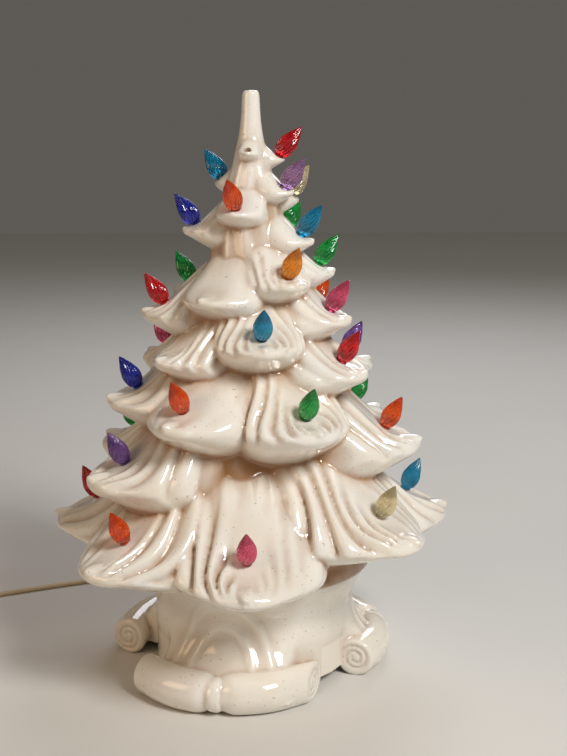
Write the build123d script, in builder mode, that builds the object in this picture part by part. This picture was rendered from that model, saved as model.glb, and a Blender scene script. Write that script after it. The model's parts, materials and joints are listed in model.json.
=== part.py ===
"""Glazed ceramic table tree with push-in lights, on a scrolled base that holds a lamp kit.

Millimetres, +Z up. The origin is on the floor, at the middle of the base. The front faces -Y,
and an azimuth is counted in degrees from the front, positive towards +X.
"""

import os
from math import cos, pi, radians, sin, tan

from build123d import *

os.makedirs("parts", exist_ok=True)

# Overall sizes
base_height = 80.0  # foot to the ledge that carries the tree
tree_height = 326.0  # ledge to the top of the stem
tree_reach = 145.0  # axis to the tip of the longest branch
fit_gap = 0.3  # between pieces that come apart
seat_gap = 0.15  # between pieces that stay together
light_gap = 0.6  # between a push-in light and its hole
overrun = 4.0  # how far a cut runs past the face that it breaks

# Cast tree: a tapering trunk with a bare stem
tree_wall = 5.5
rim_radius = 84.0
shoulder_height = 280.0  # ledge to the foot of the bare stem
shoulder_radius = 12.0
stem_radius = 5.7
stem_round = 2.2
stem_waist_share = 0.45  # height of the stem's hollow curve, of the bare stem
stem_waist_radius = 7.6
topper_bore_radius = 2.6
topper_bore_depth = 24.0
glow_hole_radius = 1.6  # from the hollow up to the topper's bore
cavity_top = 284.0  # ledge to the top of the trunk's hollow
cavity_top_radius = 4.5

# Branches: azimuth, shares of the tree's height and reach, breadth as a share of reach, and light
branch_shares = [
    (90, 0.86, 0.16, 0.37, "red"),
    (-8, 0.875, 0.14, 0.37, "empty"),
    (-125, 0.81, 0.205, 0.37, "teal"),
    (175, 0.865, 0.155, 0.37, "blue"),
    (60, 0.795, 0.225, 0.37, "mauve"),
    (112, 0.775, 0.245, 0.37, "clear"),
    (170, 0.78, 0.24, 0.37, "red"),
    (-20, 0.755, 0.265, 0.44, "orange"),
    (-160, 0.73, 0.295, 0.37, "amber"),
    (-88, 0.715, 0.325, 0.37, "blue"),
    (68, 0.695, 0.315, 0.37, "teal"),
    (140, 0.695, 0.335, 0.37, "green"),
    (92, 0.625, 0.4, 0.37, "green"),
    (30, 0.615, 0.415, 0.37, "amber"),
    (160, 0.6, 0.425, 0.37, "pink"),
    (-32, 0.585, 0.445, 0.44, None),
    (-125, 0.575, 0.455, 0.37, "green"),
    (-165, 0.56, 0.475, 0.37, "teal"),
    (-88, 0.54, 0.525, 0.37, "red"),
    (66, 0.535, 0.505, 0.37, "pink"),
    (130, 0.52, 0.515, 0.37, "orange"),
    (6, 0.495, 0.545, 0.37, "teal"),
    (-52, 0.46, 0.555, 0.37, None),
    (168, 0.45, 0.595, 0.37, "purple"),
    (60, 0.43, 0.61, 0.37, "red"),
    (-122, 0.425, 0.62, 0.37, "pink"),
    (112, 0.41, 0.64, 0.37, "purple"),
    (-80, 0.36, 0.7, 0.37, "blue"),
    (-34, 0.345, 0.705, 0.37, "orange"),
    (25, 0.335, 0.715, 0.37, "green"),
    (-138, 0.325, 0.725, 0.37, "amber"),
    (180, 0.3, 0.76, 0.37, "clear"),
    (122, 0.28, 0.78, 0.37, "green"),
    (80, 0.265, 0.82, 0.37, "orange"),
    (-116, 0.225, 0.835, 0.37, "green"),
    (-62, 0.215, 0.855, 0.37, "purple"),
    (-157, 0.185, 0.885, 0.37, "red"),
    (161, 0.17, 0.9, 0.37, "blue"),
    (51, 0.115, 0.96, 0.37, "clear"),
    (100, 0.085, 1.0, 0.37, "teal"),
    (139, 0.07, 0.985, 0.37, "mauve"),
    (-98, 0.077, 1.0, 0.37, "red"),
    (-138, 0.075, 0.99, 0.37, "amber"),
    (-48, 0.07, 1.0, 0.37, "orange"),
    (183, 0.07, 0.98, 0.37, "green"),
    (-2, 0.065, 0.98, 0.37, "pink"),
]
# A branch from its root in the trunk to its tip: where its sections stand, and how they taper
root_share = 0.36
station_shares = (0.0, 0.4, 0.66, 0.86, 0.96)
width_shares = (1.0, 0.98, 0.84, 0.56, 0.3)
rise_shares = (1.0, 0.5, 0.2, 0.09, 0.06)
drop_shares = (1.0, 0.72, 0.46, 0.24, 0.13)
seat_station = 2  # the section whose top carries the light
# Shares of a branch's reach
rise_share = 0.48
drop_share = 0.34
low_drop_share = 0.17
low_tier_share = 0.12  # branches below this share of the height have the shallow belly
hollow_root_share = 0.12
hollow_sections = 4
least_hollow = 3.2  # half height of the smallest hollow worth casting

# Push-in lights
light_height = 24.0
light_radius = 6.6
light_ribs = 10
light_twist = 75.0
light_height_shares = (0.0, 0.12, 0.34, 0.6, 0.82, 0.95)
light_radius_shares = (0.6, 0.88, 1.0, 0.76, 0.4, 0.13)
light_collar_radius = 3.6
light_collar = 1.4
light_peg_radius = 2.3
light_peg = 9.0
light_low_lean = 24.0
light_high_lean = 42.0
seat_depth = 0.8
light_hole_depth = 30.0

# Scrolled base
base_wall = 6.0
base_top_radius = 83.0
base_waist_radius = 70.0
base_waist_share = 0.55
base_skirt_radius = 82.0
base_skirt_height = 16.0
hem_lift = 8.0
ring_outer_radius = 70.0
ring_wall = 4.0
ring_height = 5.0
roll_count = 3
roll_azimuth = -16.0
roll_half_span = 40.0
roll_radius = 13.5
roll_height = 13.0
roll_ring_radius = 91.0  # axis to the middle of a strap
roll_end_radius = 80.0  # axis to the middle of a spiral eye
roll_round = 3.0
strap_radius = 10.5
strap_width = 6.0
eye_radius = 8.6
eye_groove = 2.2
eye_depth = 1.4
arch_half_widths = (30.0, 19.0)
arch_heights = (46.0, 30.0)
arch_ridge = 4.0
arch_relief = 1.8
arch_foot = 22.0

# Lamp kit in the base
lamp_hole_radius = 12.0
socket_radius = 11.0
socket_flange_radius = 16.0
socket_flange = 2.5
socket_depth = 30.0
socket_rim = 8.0
socket_rim_radius = 9.5
socket_bore_radius = 7.0
socket_floor = 6.0
socket_neck_radius = 5.0
socket_neck = 4.0
shell_wall = 0.5
shell_height = 26.0
contact_radius = 2.5
contact_height = 2.0
clip_wall = 0.6
clip_band = 6.0
clip_drop = 12.0
clip_reach = 5.5
clip_leg_width = 8.0
cap_tip_radius = 2.0
cap_tip = 1.7
cap_height = 18.0
cap_wall = 0.6
cap_taper = 20.0
glass_wall = 0.7
glass_neck_radius = 5.2
glass_neck = 12.0
glass_radius = 9.4
glass_swell = 13.0
glass_height = 46.0
stem_glass_radius = 2.2
stem_glass = 14.0
mount_taper = 1.0
filament_wire_radius = 0.35
filament_span = 4.5
filament_height = 27.0
filament_rise = 2.0
filament_bend = 1.0

# Flat twin lead
cord_width = 5.4
cord_thickness = 2.8
cord_height = 2.4  # middle of the lead above the floor
cord_azimuth = 174.0
# Route inside the base, as distances from the axis and heights above the floor
inside_route = [(0.0, 46.0), (0.0, 31.5), (6.5, 17.0), (19.0, 6.8), (35.0, 2.4), (50.0, 2.4)]
exit_radius = 84.0  # the lead runs straight out to here
# Route on the floor after that, as X and Y
floor_route = [
    (8.0, 119.0),
    (-14.0, 150.0),
    (-48.0, 164.0),
    (-86.0, 163.0),
    (-122.0, 153.0),
    (-157.0, 141.0),
    (-190.0, 127.5),
    (-221.0, 114.0),
    (-249.0, 100.0),
    (-274.0, 85.5),
]
bend_share = 0.45
coil_outer_radius = 41.1
coil_pitch = 6.0
coil_turns = 3
coil_layer = 3.9
coil_lead = 36.0
tie_wall = 0.8
tie_gap = 0.6
tie_width = 5.0
tie_round = 2.5
tie_angle = 215.0

# Plug on the lead's end
plug_length = 34.0
plug_width = 24.0
plug_nose_width = 12.0
plug_nose_height = 8.0
plug_taper = 14.0
plug_round = 3.0
blade_length = 16.0
blade_width = 6.3
blade_thickness = 1.5
blade_spacing = 12.7
blade_root = 5.0


def outward(azimuth):
    """Unit vector that points away from the axis."""
    return Vector(sin(radians(azimuth)), -cos(radians(azimuth)), 0)


def upright_plane(azimuth, radius, height):
    """Plane square to a radius, whose local Y points up."""
    direction = outward(azimuth)
    place = direction * radius + Vector(0, 0, height)
    return Plane(place, x_dir=Vector(0, 0, 1).cross(direction), z_dir=direction)


def finish(part, name):
    """Label a piece and write it under its name."""
    part.label = name
    export_step(part, f"parts/{name}.step")


class Branch:
    """One branch of the tree: where its tip is, and how wide and deep it is."""

    def __init__(self, azimuth, height_share, reach_share, breadth_share, light):
        self.azimuth = azimuth
        self.reach = tree_reach * reach_share
        self.height = base_height + tree_height * height_share
        self.half_width = self.reach * breadth_share
        self.rise = self.reach * rise_share
        self.drop = self.reach * (low_drop_share if height_share < low_tier_share else drop_share)
        self.lean = light_low_lean + (light_high_lean - light_low_lean) * height_share
        self.light = light

    def station(self, share):
        """Distance from the axis of a section, as a share of the way from root to tip."""
        return self.reach * (root_share + (1 - root_share) * share)

    def section(self, radius, half_width, rise, drop, height):
        """A section: a low arch over a deeper belly."""
        with BuildSketch(upright_plane(self.azimuth, radius, height)) as outline:
            with BuildLine():
                EllipticalCenterArc((0, 0), half_width, rise, 0, arc_size=180)
                EllipticalCenterArc((0, 0), half_width, drop, 180, arc_size=180)
            make_face()
        return outline.sketch

    def outside(self):
        """The branch's outer form, drawn out to a blunt point."""
        sections = []
        for station, width, rise, drop in zip(station_shares, width_shares, rise_shares, drop_shares):
            sizes = (self.half_width * width, self.rise * rise, self.drop * drop)
            sections.append(self.section(self.station(station), *sizes, self.height))
        sections.append(Vertex(outward(self.azimuth) * self.reach + Vector(0, 0, self.height)))
        with BuildPart() as form:
            loft(sections=sections)
        return form.part

    def hollow(self):
        """The branch's inside, one wall in from its outer form, or None where it is cast solid."""
        sections = []
        shares = zip(station_shares, width_shares, rise_shares, drop_shares)
        for index, (station, width, rise, drop) in enumerate(shares):
            top = self.height + self.rise * rise - tree_wall
            bottom = self.height - self.drop * drop + tree_wall
            half_height = (top - bottom) / 2
            half_width = self.half_width * width - tree_wall
            if index == hollow_sections or min(half_height, half_width) < least_hollow:
                break
            radius = self.station(station) if index else self.reach * hollow_root_share
            middle = bottom + half_height
            sections.append(self.section(radius, half_width, half_height, half_height, middle))
        if len(sections) < 2:
            return None
        with BuildPart() as form:
            loft(sections=sections)
        return form.part

    def seat(self):
        """Plane of the light's seat, with its Z along the light."""
        direction = outward(self.azimuth)
        axis = direction * sin(radians(self.lean)) + Vector(0, 0, cos(radians(self.lean)))
        top = self.height + self.rise * rise_shares[seat_station]
        place = direction * self.station(station_shares[seat_station]) + Vector(0, 0, top)
        across = Vector(0, 0, 1).cross(direction)
        return Plane(place - axis * seat_depth, x_dir=across, z_dir=axis)


branches = [Branch(*shares) for shares in branch_shares]
drilled = [branch for branch in branches if branch.light]
tree_top = base_height + tree_height
shoulder = base_height + shoulder_height
cavity_end = base_height + cavity_top

# Hollow of the tree: the trunk's inside with the insides of its branches
with BuildPart() as tree_hollow:
    with BuildSketch(Plane.XZ):
        with BuildLine():
            Polyline(
                (0, base_height - overrun),
                (rim_radius - tree_wall, base_height - overrun),
                (rim_radius - tree_wall, base_height),
                (cavity_top_radius, cavity_end),
                (0, cavity_end),
                close=True,
            )
        make_face()
    revolve(axis=Axis.Z)
    add([form for form in (branch.hollow() for branch in branches) if form])

# Drillings for the lights: a flat seat with a hole through the wall under it
with BuildPart() as drillings:
    for branch in drilled:
        if branch.light != "empty":
            with BuildSketch(branch.seat()):
                Circle(light_collar_radius + light_gap)
            extrude(amount=light_collar + seat_depth)
        with BuildSketch(branch.seat().offset(seat_depth + overrun)):
            Circle(light_peg_radius + light_gap)
        extrude(amount=-seat_depth - overrun - min(light_hole_depth, branch.reach))

with BuildPart() as tree_shell:
    with BuildSketch(Plane.XZ):
        with BuildLine():
            stem_waist = shoulder + (tree_top - shoulder) * stem_waist_share
            Polyline((0, tree_top), (0, base_height), (rim_radius, base_height), (shoulder_radius, shoulder))
            ThreePointArc(
                (shoulder_radius, shoulder), (stem_waist_radius, stem_waist), (stem_radius, tree_top)
            )
            Line((stem_radius, tree_top), (0, tree_top))
        make_face()
    revolve(axis=Axis.Z)
    fillet(tree_shell.edges().group_by(Axis.Z)[-1], stem_round)
    add([branch.outside() for branch in branches])
    split(bisect_by=Plane.XY.offset(base_height), keep=Keep.TOP)
    add(tree_hollow.part, mode=Mode.SUBTRACT)
    add(drillings.part, mode=Mode.SUBTRACT)
    with BuildSketch(Plane.XY.offset(tree_top)):
        Circle(topper_bore_radius)
    extrude(amount=-topper_bore_depth, mode=Mode.SUBTRACT)
    with BuildSketch(Plane.XY.offset(tree_top)):
        Circle(glow_hole_radius)
    extrude(amount=cavity_end - tree_top - overrun, mode=Mode.SUBTRACT)
finish(tree_shell.part, "tree_shell")


def flame_ring(height_share, radius_share):
    """Corners of a section of the flame, turned with its height."""
    height = light_collar + light_height * height_share
    corners = []
    for rib in range(light_ribs):
        angle = rib * 360 / light_ribs + light_twist * height_share
        corners.append(Vector(light_radius * radius_share, 0, height).rotate(Axis.Z, angle))
    return corners


def flame_faces(rings, tip):
    """Flat facets between the sections, over the foot and up to the tip."""
    facets = [rings[0]]
    for low, high in zip(rings, rings[1:]):
        for rib in range(light_ribs):
            following = (rib + 1) % light_ribs
            facets.append([low[rib], low[following], high[following]])
            facets.append([low[rib], high[following], high[rib]])
    for rib in range(light_ribs):
        facets.append([rings[-1][rib], rings[-1][(rib + 1) % light_ribs], tip])
    return [Face(Wire.make_polygon(facet)) for facet in facets]


# One light, standing on its collar: a flame of twisted ribs over a collar and a peg
with BuildPart() as light:
    flame = [flame_ring(*shares) for shares in zip(light_height_shares, light_radius_shares)]
    add(Solid(Shell(flame_faces(flame, Vector(0, 0, light_collar + light_height)))))
    with BuildSketch(Plane.XY):
        RegularPolygon(light_collar_radius, light_ribs)
    extrude(amount=light_collar)
    with BuildSketch(Plane.XY):
        RegularPolygon(light_peg_radius, light_ribs)
    extrude(amount=-light_peg)

lit = [branch for branch in drilled if branch.light != "empty"]
for number, branch in enumerate(lit, start=1):
    seat = branch.seat()
    placed = light.part.moved(Location(seat.offset(light_gap)))
    finish(placed, f"light_{number:02d}_{branch.light}")


def roll_half(side):
    """Half a scroll at the front: a straight roll from the strap to the spiral eye on one side."""
    start = outward(0) * roll_ring_radius + Vector(0, 0, roll_height)
    end = outward(side * roll_half_span) * roll_end_radius + Vector(0, 0, roll_height)
    with BuildPart() as half:
        with BuildSketch(Plane(start, z_dir=end - start)):
            Circle(roll_radius)
        extrude(amount=(end - start).length)
        fillet(half.edges().filter_by(GeomType.CIRCLE), roll_round)
        eye = half.faces().filter_by(GeomType.PLANE).sort_by_distance(end)[0]
        with BuildSketch(Plane(eye)):
            Circle(eye_radius)
            Circle(eye_radius - eye_groove, mode=Mode.SUBTRACT)
        extrude(amount=-eye_depth, mode=Mode.SUBTRACT)
        with BuildSketch(Plane.YZ):
            with Locations((-roll_ring_radius, roll_height)):
                Rectangle(2 * roll_height + 2 * roll_radius, 2 * roll_height + 2 * roll_radius)
        extrude(amount=side * strap_width / 2, mode=Mode.SUBTRACT)
    return half.part


def strap():
    """The tie that draws a scroll in at its middle."""
    with BuildPart() as band:
        with BuildSketch(Plane.YZ):
            with Locations((-roll_ring_radius, roll_height)):
                Circle(strap_radius)
        extrude(amount=strap_width, both=True)
    return band.part


def base_side(inset):
    """The base's side as a solid of revolution, grown or drawn in from its outer face."""
    waist = base_skirt_height + (base_height - base_skirt_height) * base_waist_share
    with BuildPart() as side:
        with BuildSketch(Plane.XZ):
            with BuildLine():
                top = (base_top_radius - inset, base_height)
                skirt = (base_skirt_radius - inset, base_skirt_height)
                hem = (base_skirt_radius - inset, hem_lift)
                ThreePointArc(top, (base_waist_radius - inset, waist), skirt)
                Polyline(skirt, hem, (0, hem_lift), (0, base_height), top)
            make_face()
        revolve(axis=Axis.Z)
    return side.part


def arch_frame(azimuth):
    """The raised arches over one scroll, cut from a prism by the base's side."""
    with BuildPart() as arches:
        with BuildSketch(upright_plane(azimuth, 0, arch_foot)):
            for half_width, height in zip(arch_half_widths, arch_heights):
                Ellipse(half_width, height)
                Ellipse(half_width - arch_ridge, height - arch_ridge, mode=Mode.SUBTRACT)
        extrude(amount=roll_ring_radius)
        add(base_side(-arch_relief), mode=Mode.INTERSECT)
    return arches.part


roll_step = 360 / roll_count
roll_azimuths = [roll_azimuth + roll_step * turn for turn in range(roll_count)]

# Base: a hollow waisted drum on three scrolls, with a ring that centres the tree
with BuildPart() as base_hollow:
    add(base_side(base_wall))
    split(bisect_by=Plane.XY.offset(base_height - base_wall), keep=Keep.BOTTOM)
    with BuildSketch(Plane.XY.offset(hem_lift)):
        Circle(base_skirt_radius - base_wall)
    extrude(amount=-hem_lift - overrun)

with BuildPart() as base_shell:
    add(base_side(0))
    scroll = [roll_half(-1), roll_half(1), strap(), arch_frame(0)]
    forms = [form.rotate(Axis.Z, azimuth) for azimuth in roll_azimuths for form in scroll]
    add(forms)
    split(bisect_by=Plane.XY, keep=Keep.TOP)
    add(base_hollow.part, mode=Mode.SUBTRACT)
    with BuildSketch(Plane.XY.offset(base_height)):
        Circle(ring_outer_radius)
        Circle(ring_outer_radius - ring_wall, mode=Mode.SUBTRACT)
    extrude(amount=ring_height)
    with BuildSketch(Plane.XY.offset(base_height)):
        Circle(lamp_hole_radius)
    extrude(amount=-base_wall - overrun, mode=Mode.SUBTRACT)
finish(base_shell.part, "base_shell")

# Lamp kit, from the socket's foot upwards
socket_foot = base_height - socket_depth
socket_seat = socket_foot + socket_floor
socket_top = base_height + socket_rim

with BuildPart() as lamp_socket:
    with BuildSketch(Plane.XZ):
        with BuildLine():
            Polyline(
                (0, socket_foot - socket_neck),
                (socket_neck_radius, socket_foot - socket_neck),
                (socket_neck_radius, socket_foot),
                (socket_radius, socket_foot),
                (socket_radius, base_height),
                (socket_flange_radius, base_height),
                (socket_flange_radius, base_height + socket_flange),
                (socket_rim_radius, base_height + socket_flange),
                (socket_rim_radius, socket_top),
                (socket_bore_radius, socket_top),
                (socket_bore_radius, socket_seat),
                (0, socket_seat),
                close=True,
            )
        make_face()
    revolve(axis=Axis.Z)
finish(lamp_socket.part, "lamp_socket")

shell_radius = socket_bore_radius - seat_gap
with BuildPart() as socket_screw_shell:
    with BuildSketch(Plane.XY.offset(socket_seat)):
        Circle(shell_radius)
        Circle(shell_radius - shell_wall, mode=Mode.SUBTRACT)
    extrude(amount=shell_height)
finish(socket_screw_shell.part, "socket_screw_shell")

with BuildPart() as socket_contact:
    with BuildSketch(Plane.XY.offset(socket_seat)):
        Circle(contact_radius)
    extrude(amount=contact_height)
finish(socket_contact.part, "socket_contact")

# Spring clip: a band round the socket with two legs that bear on the underside of the base's top
clip_radius = socket_radius + seat_gap
clip_top = base_height - clip_drop
with BuildPart() as socket_clip:
    with BuildSketch(Plane.XY.offset(clip_top)):
        Circle(clip_radius + clip_wall)
        Circle(clip_radius, mode=Mode.SUBTRACT)
    extrude(amount=-clip_band)
    with BuildSketch(Plane.XZ.offset(-clip_leg_width / 2)):
        with BuildLine():
            foot = (clip_radius + clip_wall / 2, clip_top - clip_wall)
            head = (clip_radius + clip_reach, base_height - base_wall - seat_gap)
            Polyline(
                foot,
                (foot[0] + clip_wall, foot[1] - clip_wall),
                (head[0] + clip_wall, head[1] - clip_wall),
                head,
                (head[0] - clip_wall, head[1]),
                close=True,
            )
        make_face()
        mirror(about=Plane.YZ)
    extrude(amount=clip_leg_width)
finish(socket_clip.part, "socket_clip")

# Lamp: a screw cap with its tip over the contact, and a hollow bulb with a filament on a glass mount
cap_radius = shell_radius - shell_wall - fit_gap
cap_foot = socket_seat + contact_height + fit_gap + cap_tip
glass_foot = cap_foot + cap_height

with BuildPart() as lamp_cap:
    with BuildSketch(Plane.XY.offset(cap_foot)):
        Circle(cap_radius)
    extrude(amount=cap_height)
    with BuildSketch(Plane.XY.offset(cap_foot + cap_wall)):
        Circle(cap_radius - cap_wall)
    extrude(amount=cap_height, mode=Mode.SUBTRACT)
    with BuildSketch(Plane.XY.offset(cap_foot)):
        Circle(cap_tip_radius)
    extrude(amount=-cap_tip, taper=cap_taper)
finish(lamp_cap.part, "lamp_cap")


def bulb_form(inset):
    """The bulb as a solid of revolution, one wall in where asked."""
    with BuildPart() as bulb:
        with BuildSketch(Plane.XZ):
            with BuildLine():
                foot = (glass_neck_radius - inset, glass_foot)
                neck = (glass_neck_radius - inset, glass_foot + glass_neck)
                belly = (glass_radius - inset, glass_foot + glass_neck + glass_swell)
                tip = (0, glass_foot + glass_height - inset)
                Polyline((0, tip[1]), (0, glass_foot), foot, neck)
                Spline(neck, belly, tip, tangents=((0, 1), (-1, 0)))
            make_face()
        revolve(axis=Axis.Z)
    return bulb.part


with BuildPart() as lamp_bulb:
    add(bulb_form(0))
    add(bulb_form(glass_wall), mode=Mode.SUBTRACT)
finish(lamp_bulb.part, "lamp_bulb")

with BuildPart() as lamp_mount:
    with BuildSketch(Plane.XY.offset(cap_foot + cap_wall)):
        Circle(stem_glass_radius)
    extrude(amount=cap_height - cap_wall + stem_glass, taper=mount_taper)
finish(lamp_mount.part, "lamp_mount")

# Filament: two support wires in the glass mount with the wire bowed between them
with BuildPart() as lamp_filament:
    mount_top = glass_foot + stem_glass
    with BuildLine(Plane.XZ) as wire:
        support = filament_wire_radius * 2
        FilletPolyline(
            (-support, mount_top),
            (-filament_span, glass_foot + filament_height),
            (0, glass_foot + filament_height + filament_rise),
            (filament_span, glass_foot + filament_height),
            (support, mount_top),
            radius=filament_bend,
        )
    with BuildSketch(Plane(wire.line @ 0, z_dir=wire.line % 0)):
        Circle(filament_wire_radius)
    sweep()
    split(bisect_by=Plane.XY.offset(mount_top), keep=Keep.TOP)
finish(lamp_filament.part, "lamp_filament")


def bends(points):
    """A radius for each corner of a route, as large as its two runs allow."""
    radii = []
    for before, corner, after in zip(points, points[1:], points[2:]):
        turn = (corner - before).get_angle(after - corner)
        shorter = min((corner - before).length, (after - corner).length)
        radii.append(bend_share * shorter / tan(radians(turn / 2)))
    return radii


def lead_section(path, across):
    """Plane square to a path's start, with its local X along the lead's width."""
    return Plane(path @ 0, x_dir=across, z_dir=path % 0)


def say_lead(name, part, path, radii):
    """Print a stretch of the lead: its length, its tightest bend and how its volume compares."""
    area = (cord_width - cord_thickness) * cord_thickness + pi * (cord_thickness / 2) ** 2
    share = part.volume / (area * path.length)
    print(name, "length", round(path.length, 1), "volume share", round(share, 4))
    print(name, "radii", [round(radius, 1) for radius in radii])


# Lead: down from the socket inside the base, and out over the floor under the hem at the back
exit_direction = outward(cord_azimuth)
up = Vector(0, 0, 1)

inside_points = [exit_direction * radius + up * height for radius, height in inside_route]
with BuildPart() as cord_inside:
    with BuildLine(Plane((0, 0, 0), x_dir=exit_direction, z_dir=exit_direction.cross(up))) as drop:
        FilletPolyline(*inside_route, radius=bends(inside_points))
    with BuildSketch(lead_section(drop.wire(), up.cross(exit_direction))):
        SlotOverall(cord_width, cord_thickness)
    sweep()
finish(cord_inside.part, "cord_inside")
say_lead("cord_inside", cord_inside.part, drop.wire(), bends(inside_points))

floor_points = [exit_direction * radius + up * cord_height for radius in (inside_route[-1][0], exit_radius)]
floor_points += [Vector(x, y, cord_height) for x, y in floor_route]
with BuildPart() as cord_run:
    with BuildLine(Plane.XY.offset(cord_height)) as run:
        FilletPolyline(*floor_points, radius=bends(floor_points))
    with BuildSketch(lead_section(run.wire(), up.cross(exit_direction))):
        SlotOverall(cord_width, cord_thickness)
    sweep()
finish(cord_run.part, "cord_run")
say_lead("cord_run", cord_run.part, run.wire(), bends(floor_points))

# Coil: it spirals in on the floor, climbs a layer in half a turn, steps clear of that climb, and
# spirals out again to the plug
heading = (floor_points[-1] - floor_points[-2]).normalized()
coil_side = heading.cross(up)
coil_middle = floor_points[-1] + heading * cord_width - coil_side * coil_outer_radius
coil_plane = Plane(coil_middle, x_dir=coil_side, z_dir=up)
half_step = coil_pitch / 2
coil_inner_radius = coil_outer_radius - coil_turns * coil_pitch - half_step


def half_turns(start, count, step, height):
    """Half circles that follow each other about the coil's middle, each wider or narrower by a step."""
    for _ in range(count):
        end = -start - step if start > 0 else -start + step
        top = abs(start - end) / 2
        side = top if start > 0 else -top
        ThreePointArc((start, 0, height), ((start + end) / 2, side, height), (end, 0, height))
        start = end
    return start


def corner_arc(start, corner, end):
    """An arc that leaves its start towards a corner and reaches its end from that corner."""
    middle = (start + end) / 2
    bow = (end - start).length / (2 * (corner - start).length)
    crown = middle + (corner - middle) * (bow / (1 + bow))
    ThreePointArc(*(tuple(point) for point in (start, crown, end)))


with BuildPart() as cord_coil:
    with BuildLine(coil_plane) as turns:
        Line((coil_outer_radius, -cord_width, 0), (coil_outer_radius, 0, 0))
        inner = half_turns(coil_outer_radius, 2 * coil_turns, -half_step, 0)
        foot = Vector(inner, 0, 0)
        head = Vector(half_step - inner, 0, coil_layer)
        rise = Vector(0, (head - foot).length / 2, 0)
        crest = (foot + head) / 2 + rise
        corner_arc(foot, foot + rise, crest)
        corner_arc(crest, head + rise, head)
        clear = half_turns(head.X, 1, coil_pitch + half_step, coil_layer)
        outer = half_turns(clear, 2 * coil_turns, half_step, coil_layer)
        Line((outer, 0, coil_layer), (outer, coil_lead, coil_layer))
    with BuildSketch(lead_section(turns.wire(), coil_side)):
        SlotOverall(cord_width, cord_thickness)
    sweep()
finish(cord_coil.part, "cord_coil")
say_lead("cord_coil", cord_coil.part, turns.wire(), [coil_inner_radius, outer])

# Least gap of the coil to itself, on points half a width apart
path = turns.wire()
own_stops = 8  # stops further on that still belong to the same stretch
count = int(2 * path.length / cord_width)
stops = [path.position_at(step / count) for step in range(count + 1)]
gaps = []
for index, near in enumerate(stops):
    for far in stops[index + own_stops:]:
        across = (Vector(far.X, far.Y, 0) - Vector(near.X, near.Y, 0)).length - cord_width
        gaps.append(max(across, abs(far.Z - near.Z) - cord_thickness))
print("cord_coil least gap", round(min(gaps), 2))

# Tie: a band round all the turns at one side of the coil
tie_floor = cord_height - cord_thickness / 2 - tie_wall
tie_head = cord_height + coil_layer + cord_thickness / 2 + tie_gap + tie_wall
tie_inside = outer + cord_width / 2 + tie_gap + tie_wall
tie_outside = coil_inner_radius - cord_width / 2 - tie_gap - tie_wall
tie_size = (tie_inside - tie_outside, tie_head - tie_floor)
tie_direction = coil_side.rotate(Axis.Z, tie_angle)
tie_rise = (tie_head + tie_floor) / 2 - cord_height
tie_middle = coil_middle + tie_direction * (tie_inside + tie_outside) / 2 + up * tie_rise
with BuildPart() as coil_tie:
    with BuildSketch(Plane(tie_middle, x_dir=tie_direction, z_dir=tie_direction.cross(up))):
        RectangleRounded(*tie_size, tie_round)
        offset(amount=-tie_wall, mode=Mode.SUBTRACT)
    extrude(amount=tie_width / 2, both=True)
finish(coil_tie.part, "coil_tie")

# Plug: a tapered moulded body on the floor, with two flat blades let into its face
plug_height = cord_height + coil_layer
plug_place = coil_middle + coil_side * outer + heading * coil_lead + up * coil_layer
plug_plane = Plane(plug_place, x_dir=coil_side, z_dir=heading)
blade_places = GridLocations(blade_spacing, 0, 2, 1)
with BuildPart() as plug_body:
    with BuildSketch(plug_plane):
        RectangleRounded(plug_nose_width, plug_nose_height, plug_round)
    with BuildSketch(plug_plane.offset(plug_taper)):
        RectangleRounded(plug_width, 2 * plug_height, plug_round)
    loft()
    with BuildSketch(plug_plane.offset(plug_taper)):
        RectangleRounded(plug_width, 2 * plug_height, plug_round)
    extrude(amount=plug_length - plug_taper)
    with BuildSketch(plug_plane.offset(plug_length)):
        with blade_places:
            Rectangle(blade_thickness + 2 * seat_gap, blade_width + 2 * seat_gap)
    extrude(amount=-blade_root, mode=Mode.SUBTRACT)
finish(plug_body.part, "plug_body")

with BuildPart() as plug_blades:
    with BuildSketch(plug_plane.offset(plug_length - blade_root)):
        with blade_places:
            Rectangle(blade_thickness, blade_width)
    extrude(amount=blade_root + blade_length)
finish(plug_blades.part, "plug_blades")
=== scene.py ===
"""Looks of a glazed ceramic table tree with push-in lights, on a scrolled base with a lamp and a lead.

Metres, +Z up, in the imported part's own frame. The front faces -Y, and an azimuth is counted in degrees
from the front, positive towards +X. Every piece keeps its place in its mesh.
"""

import json
import logging
import math
from dataclasses import dataclass, field
from enum import Enum

import bpy
import numpy as np
from mathutils import Matrix, Vector


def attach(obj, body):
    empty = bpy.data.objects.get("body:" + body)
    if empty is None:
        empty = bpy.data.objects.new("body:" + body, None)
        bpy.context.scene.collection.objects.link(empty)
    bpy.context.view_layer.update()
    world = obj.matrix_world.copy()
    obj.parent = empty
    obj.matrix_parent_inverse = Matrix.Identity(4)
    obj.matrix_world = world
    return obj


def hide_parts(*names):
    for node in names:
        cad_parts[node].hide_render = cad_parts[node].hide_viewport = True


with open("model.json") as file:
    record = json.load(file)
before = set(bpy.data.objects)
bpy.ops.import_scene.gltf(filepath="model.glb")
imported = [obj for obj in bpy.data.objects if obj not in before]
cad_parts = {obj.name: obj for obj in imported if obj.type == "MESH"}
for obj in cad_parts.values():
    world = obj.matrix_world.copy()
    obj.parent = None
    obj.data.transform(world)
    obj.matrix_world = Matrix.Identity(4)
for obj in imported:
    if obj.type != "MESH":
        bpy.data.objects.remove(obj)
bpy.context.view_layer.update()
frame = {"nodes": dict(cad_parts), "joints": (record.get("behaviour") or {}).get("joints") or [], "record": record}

LOG = logging.getLogger("ceramic_tree")
MM = 0.001
UP = Vector((0, 0, 1))
UP_ROW = np.array((0, 0, 1))
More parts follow.
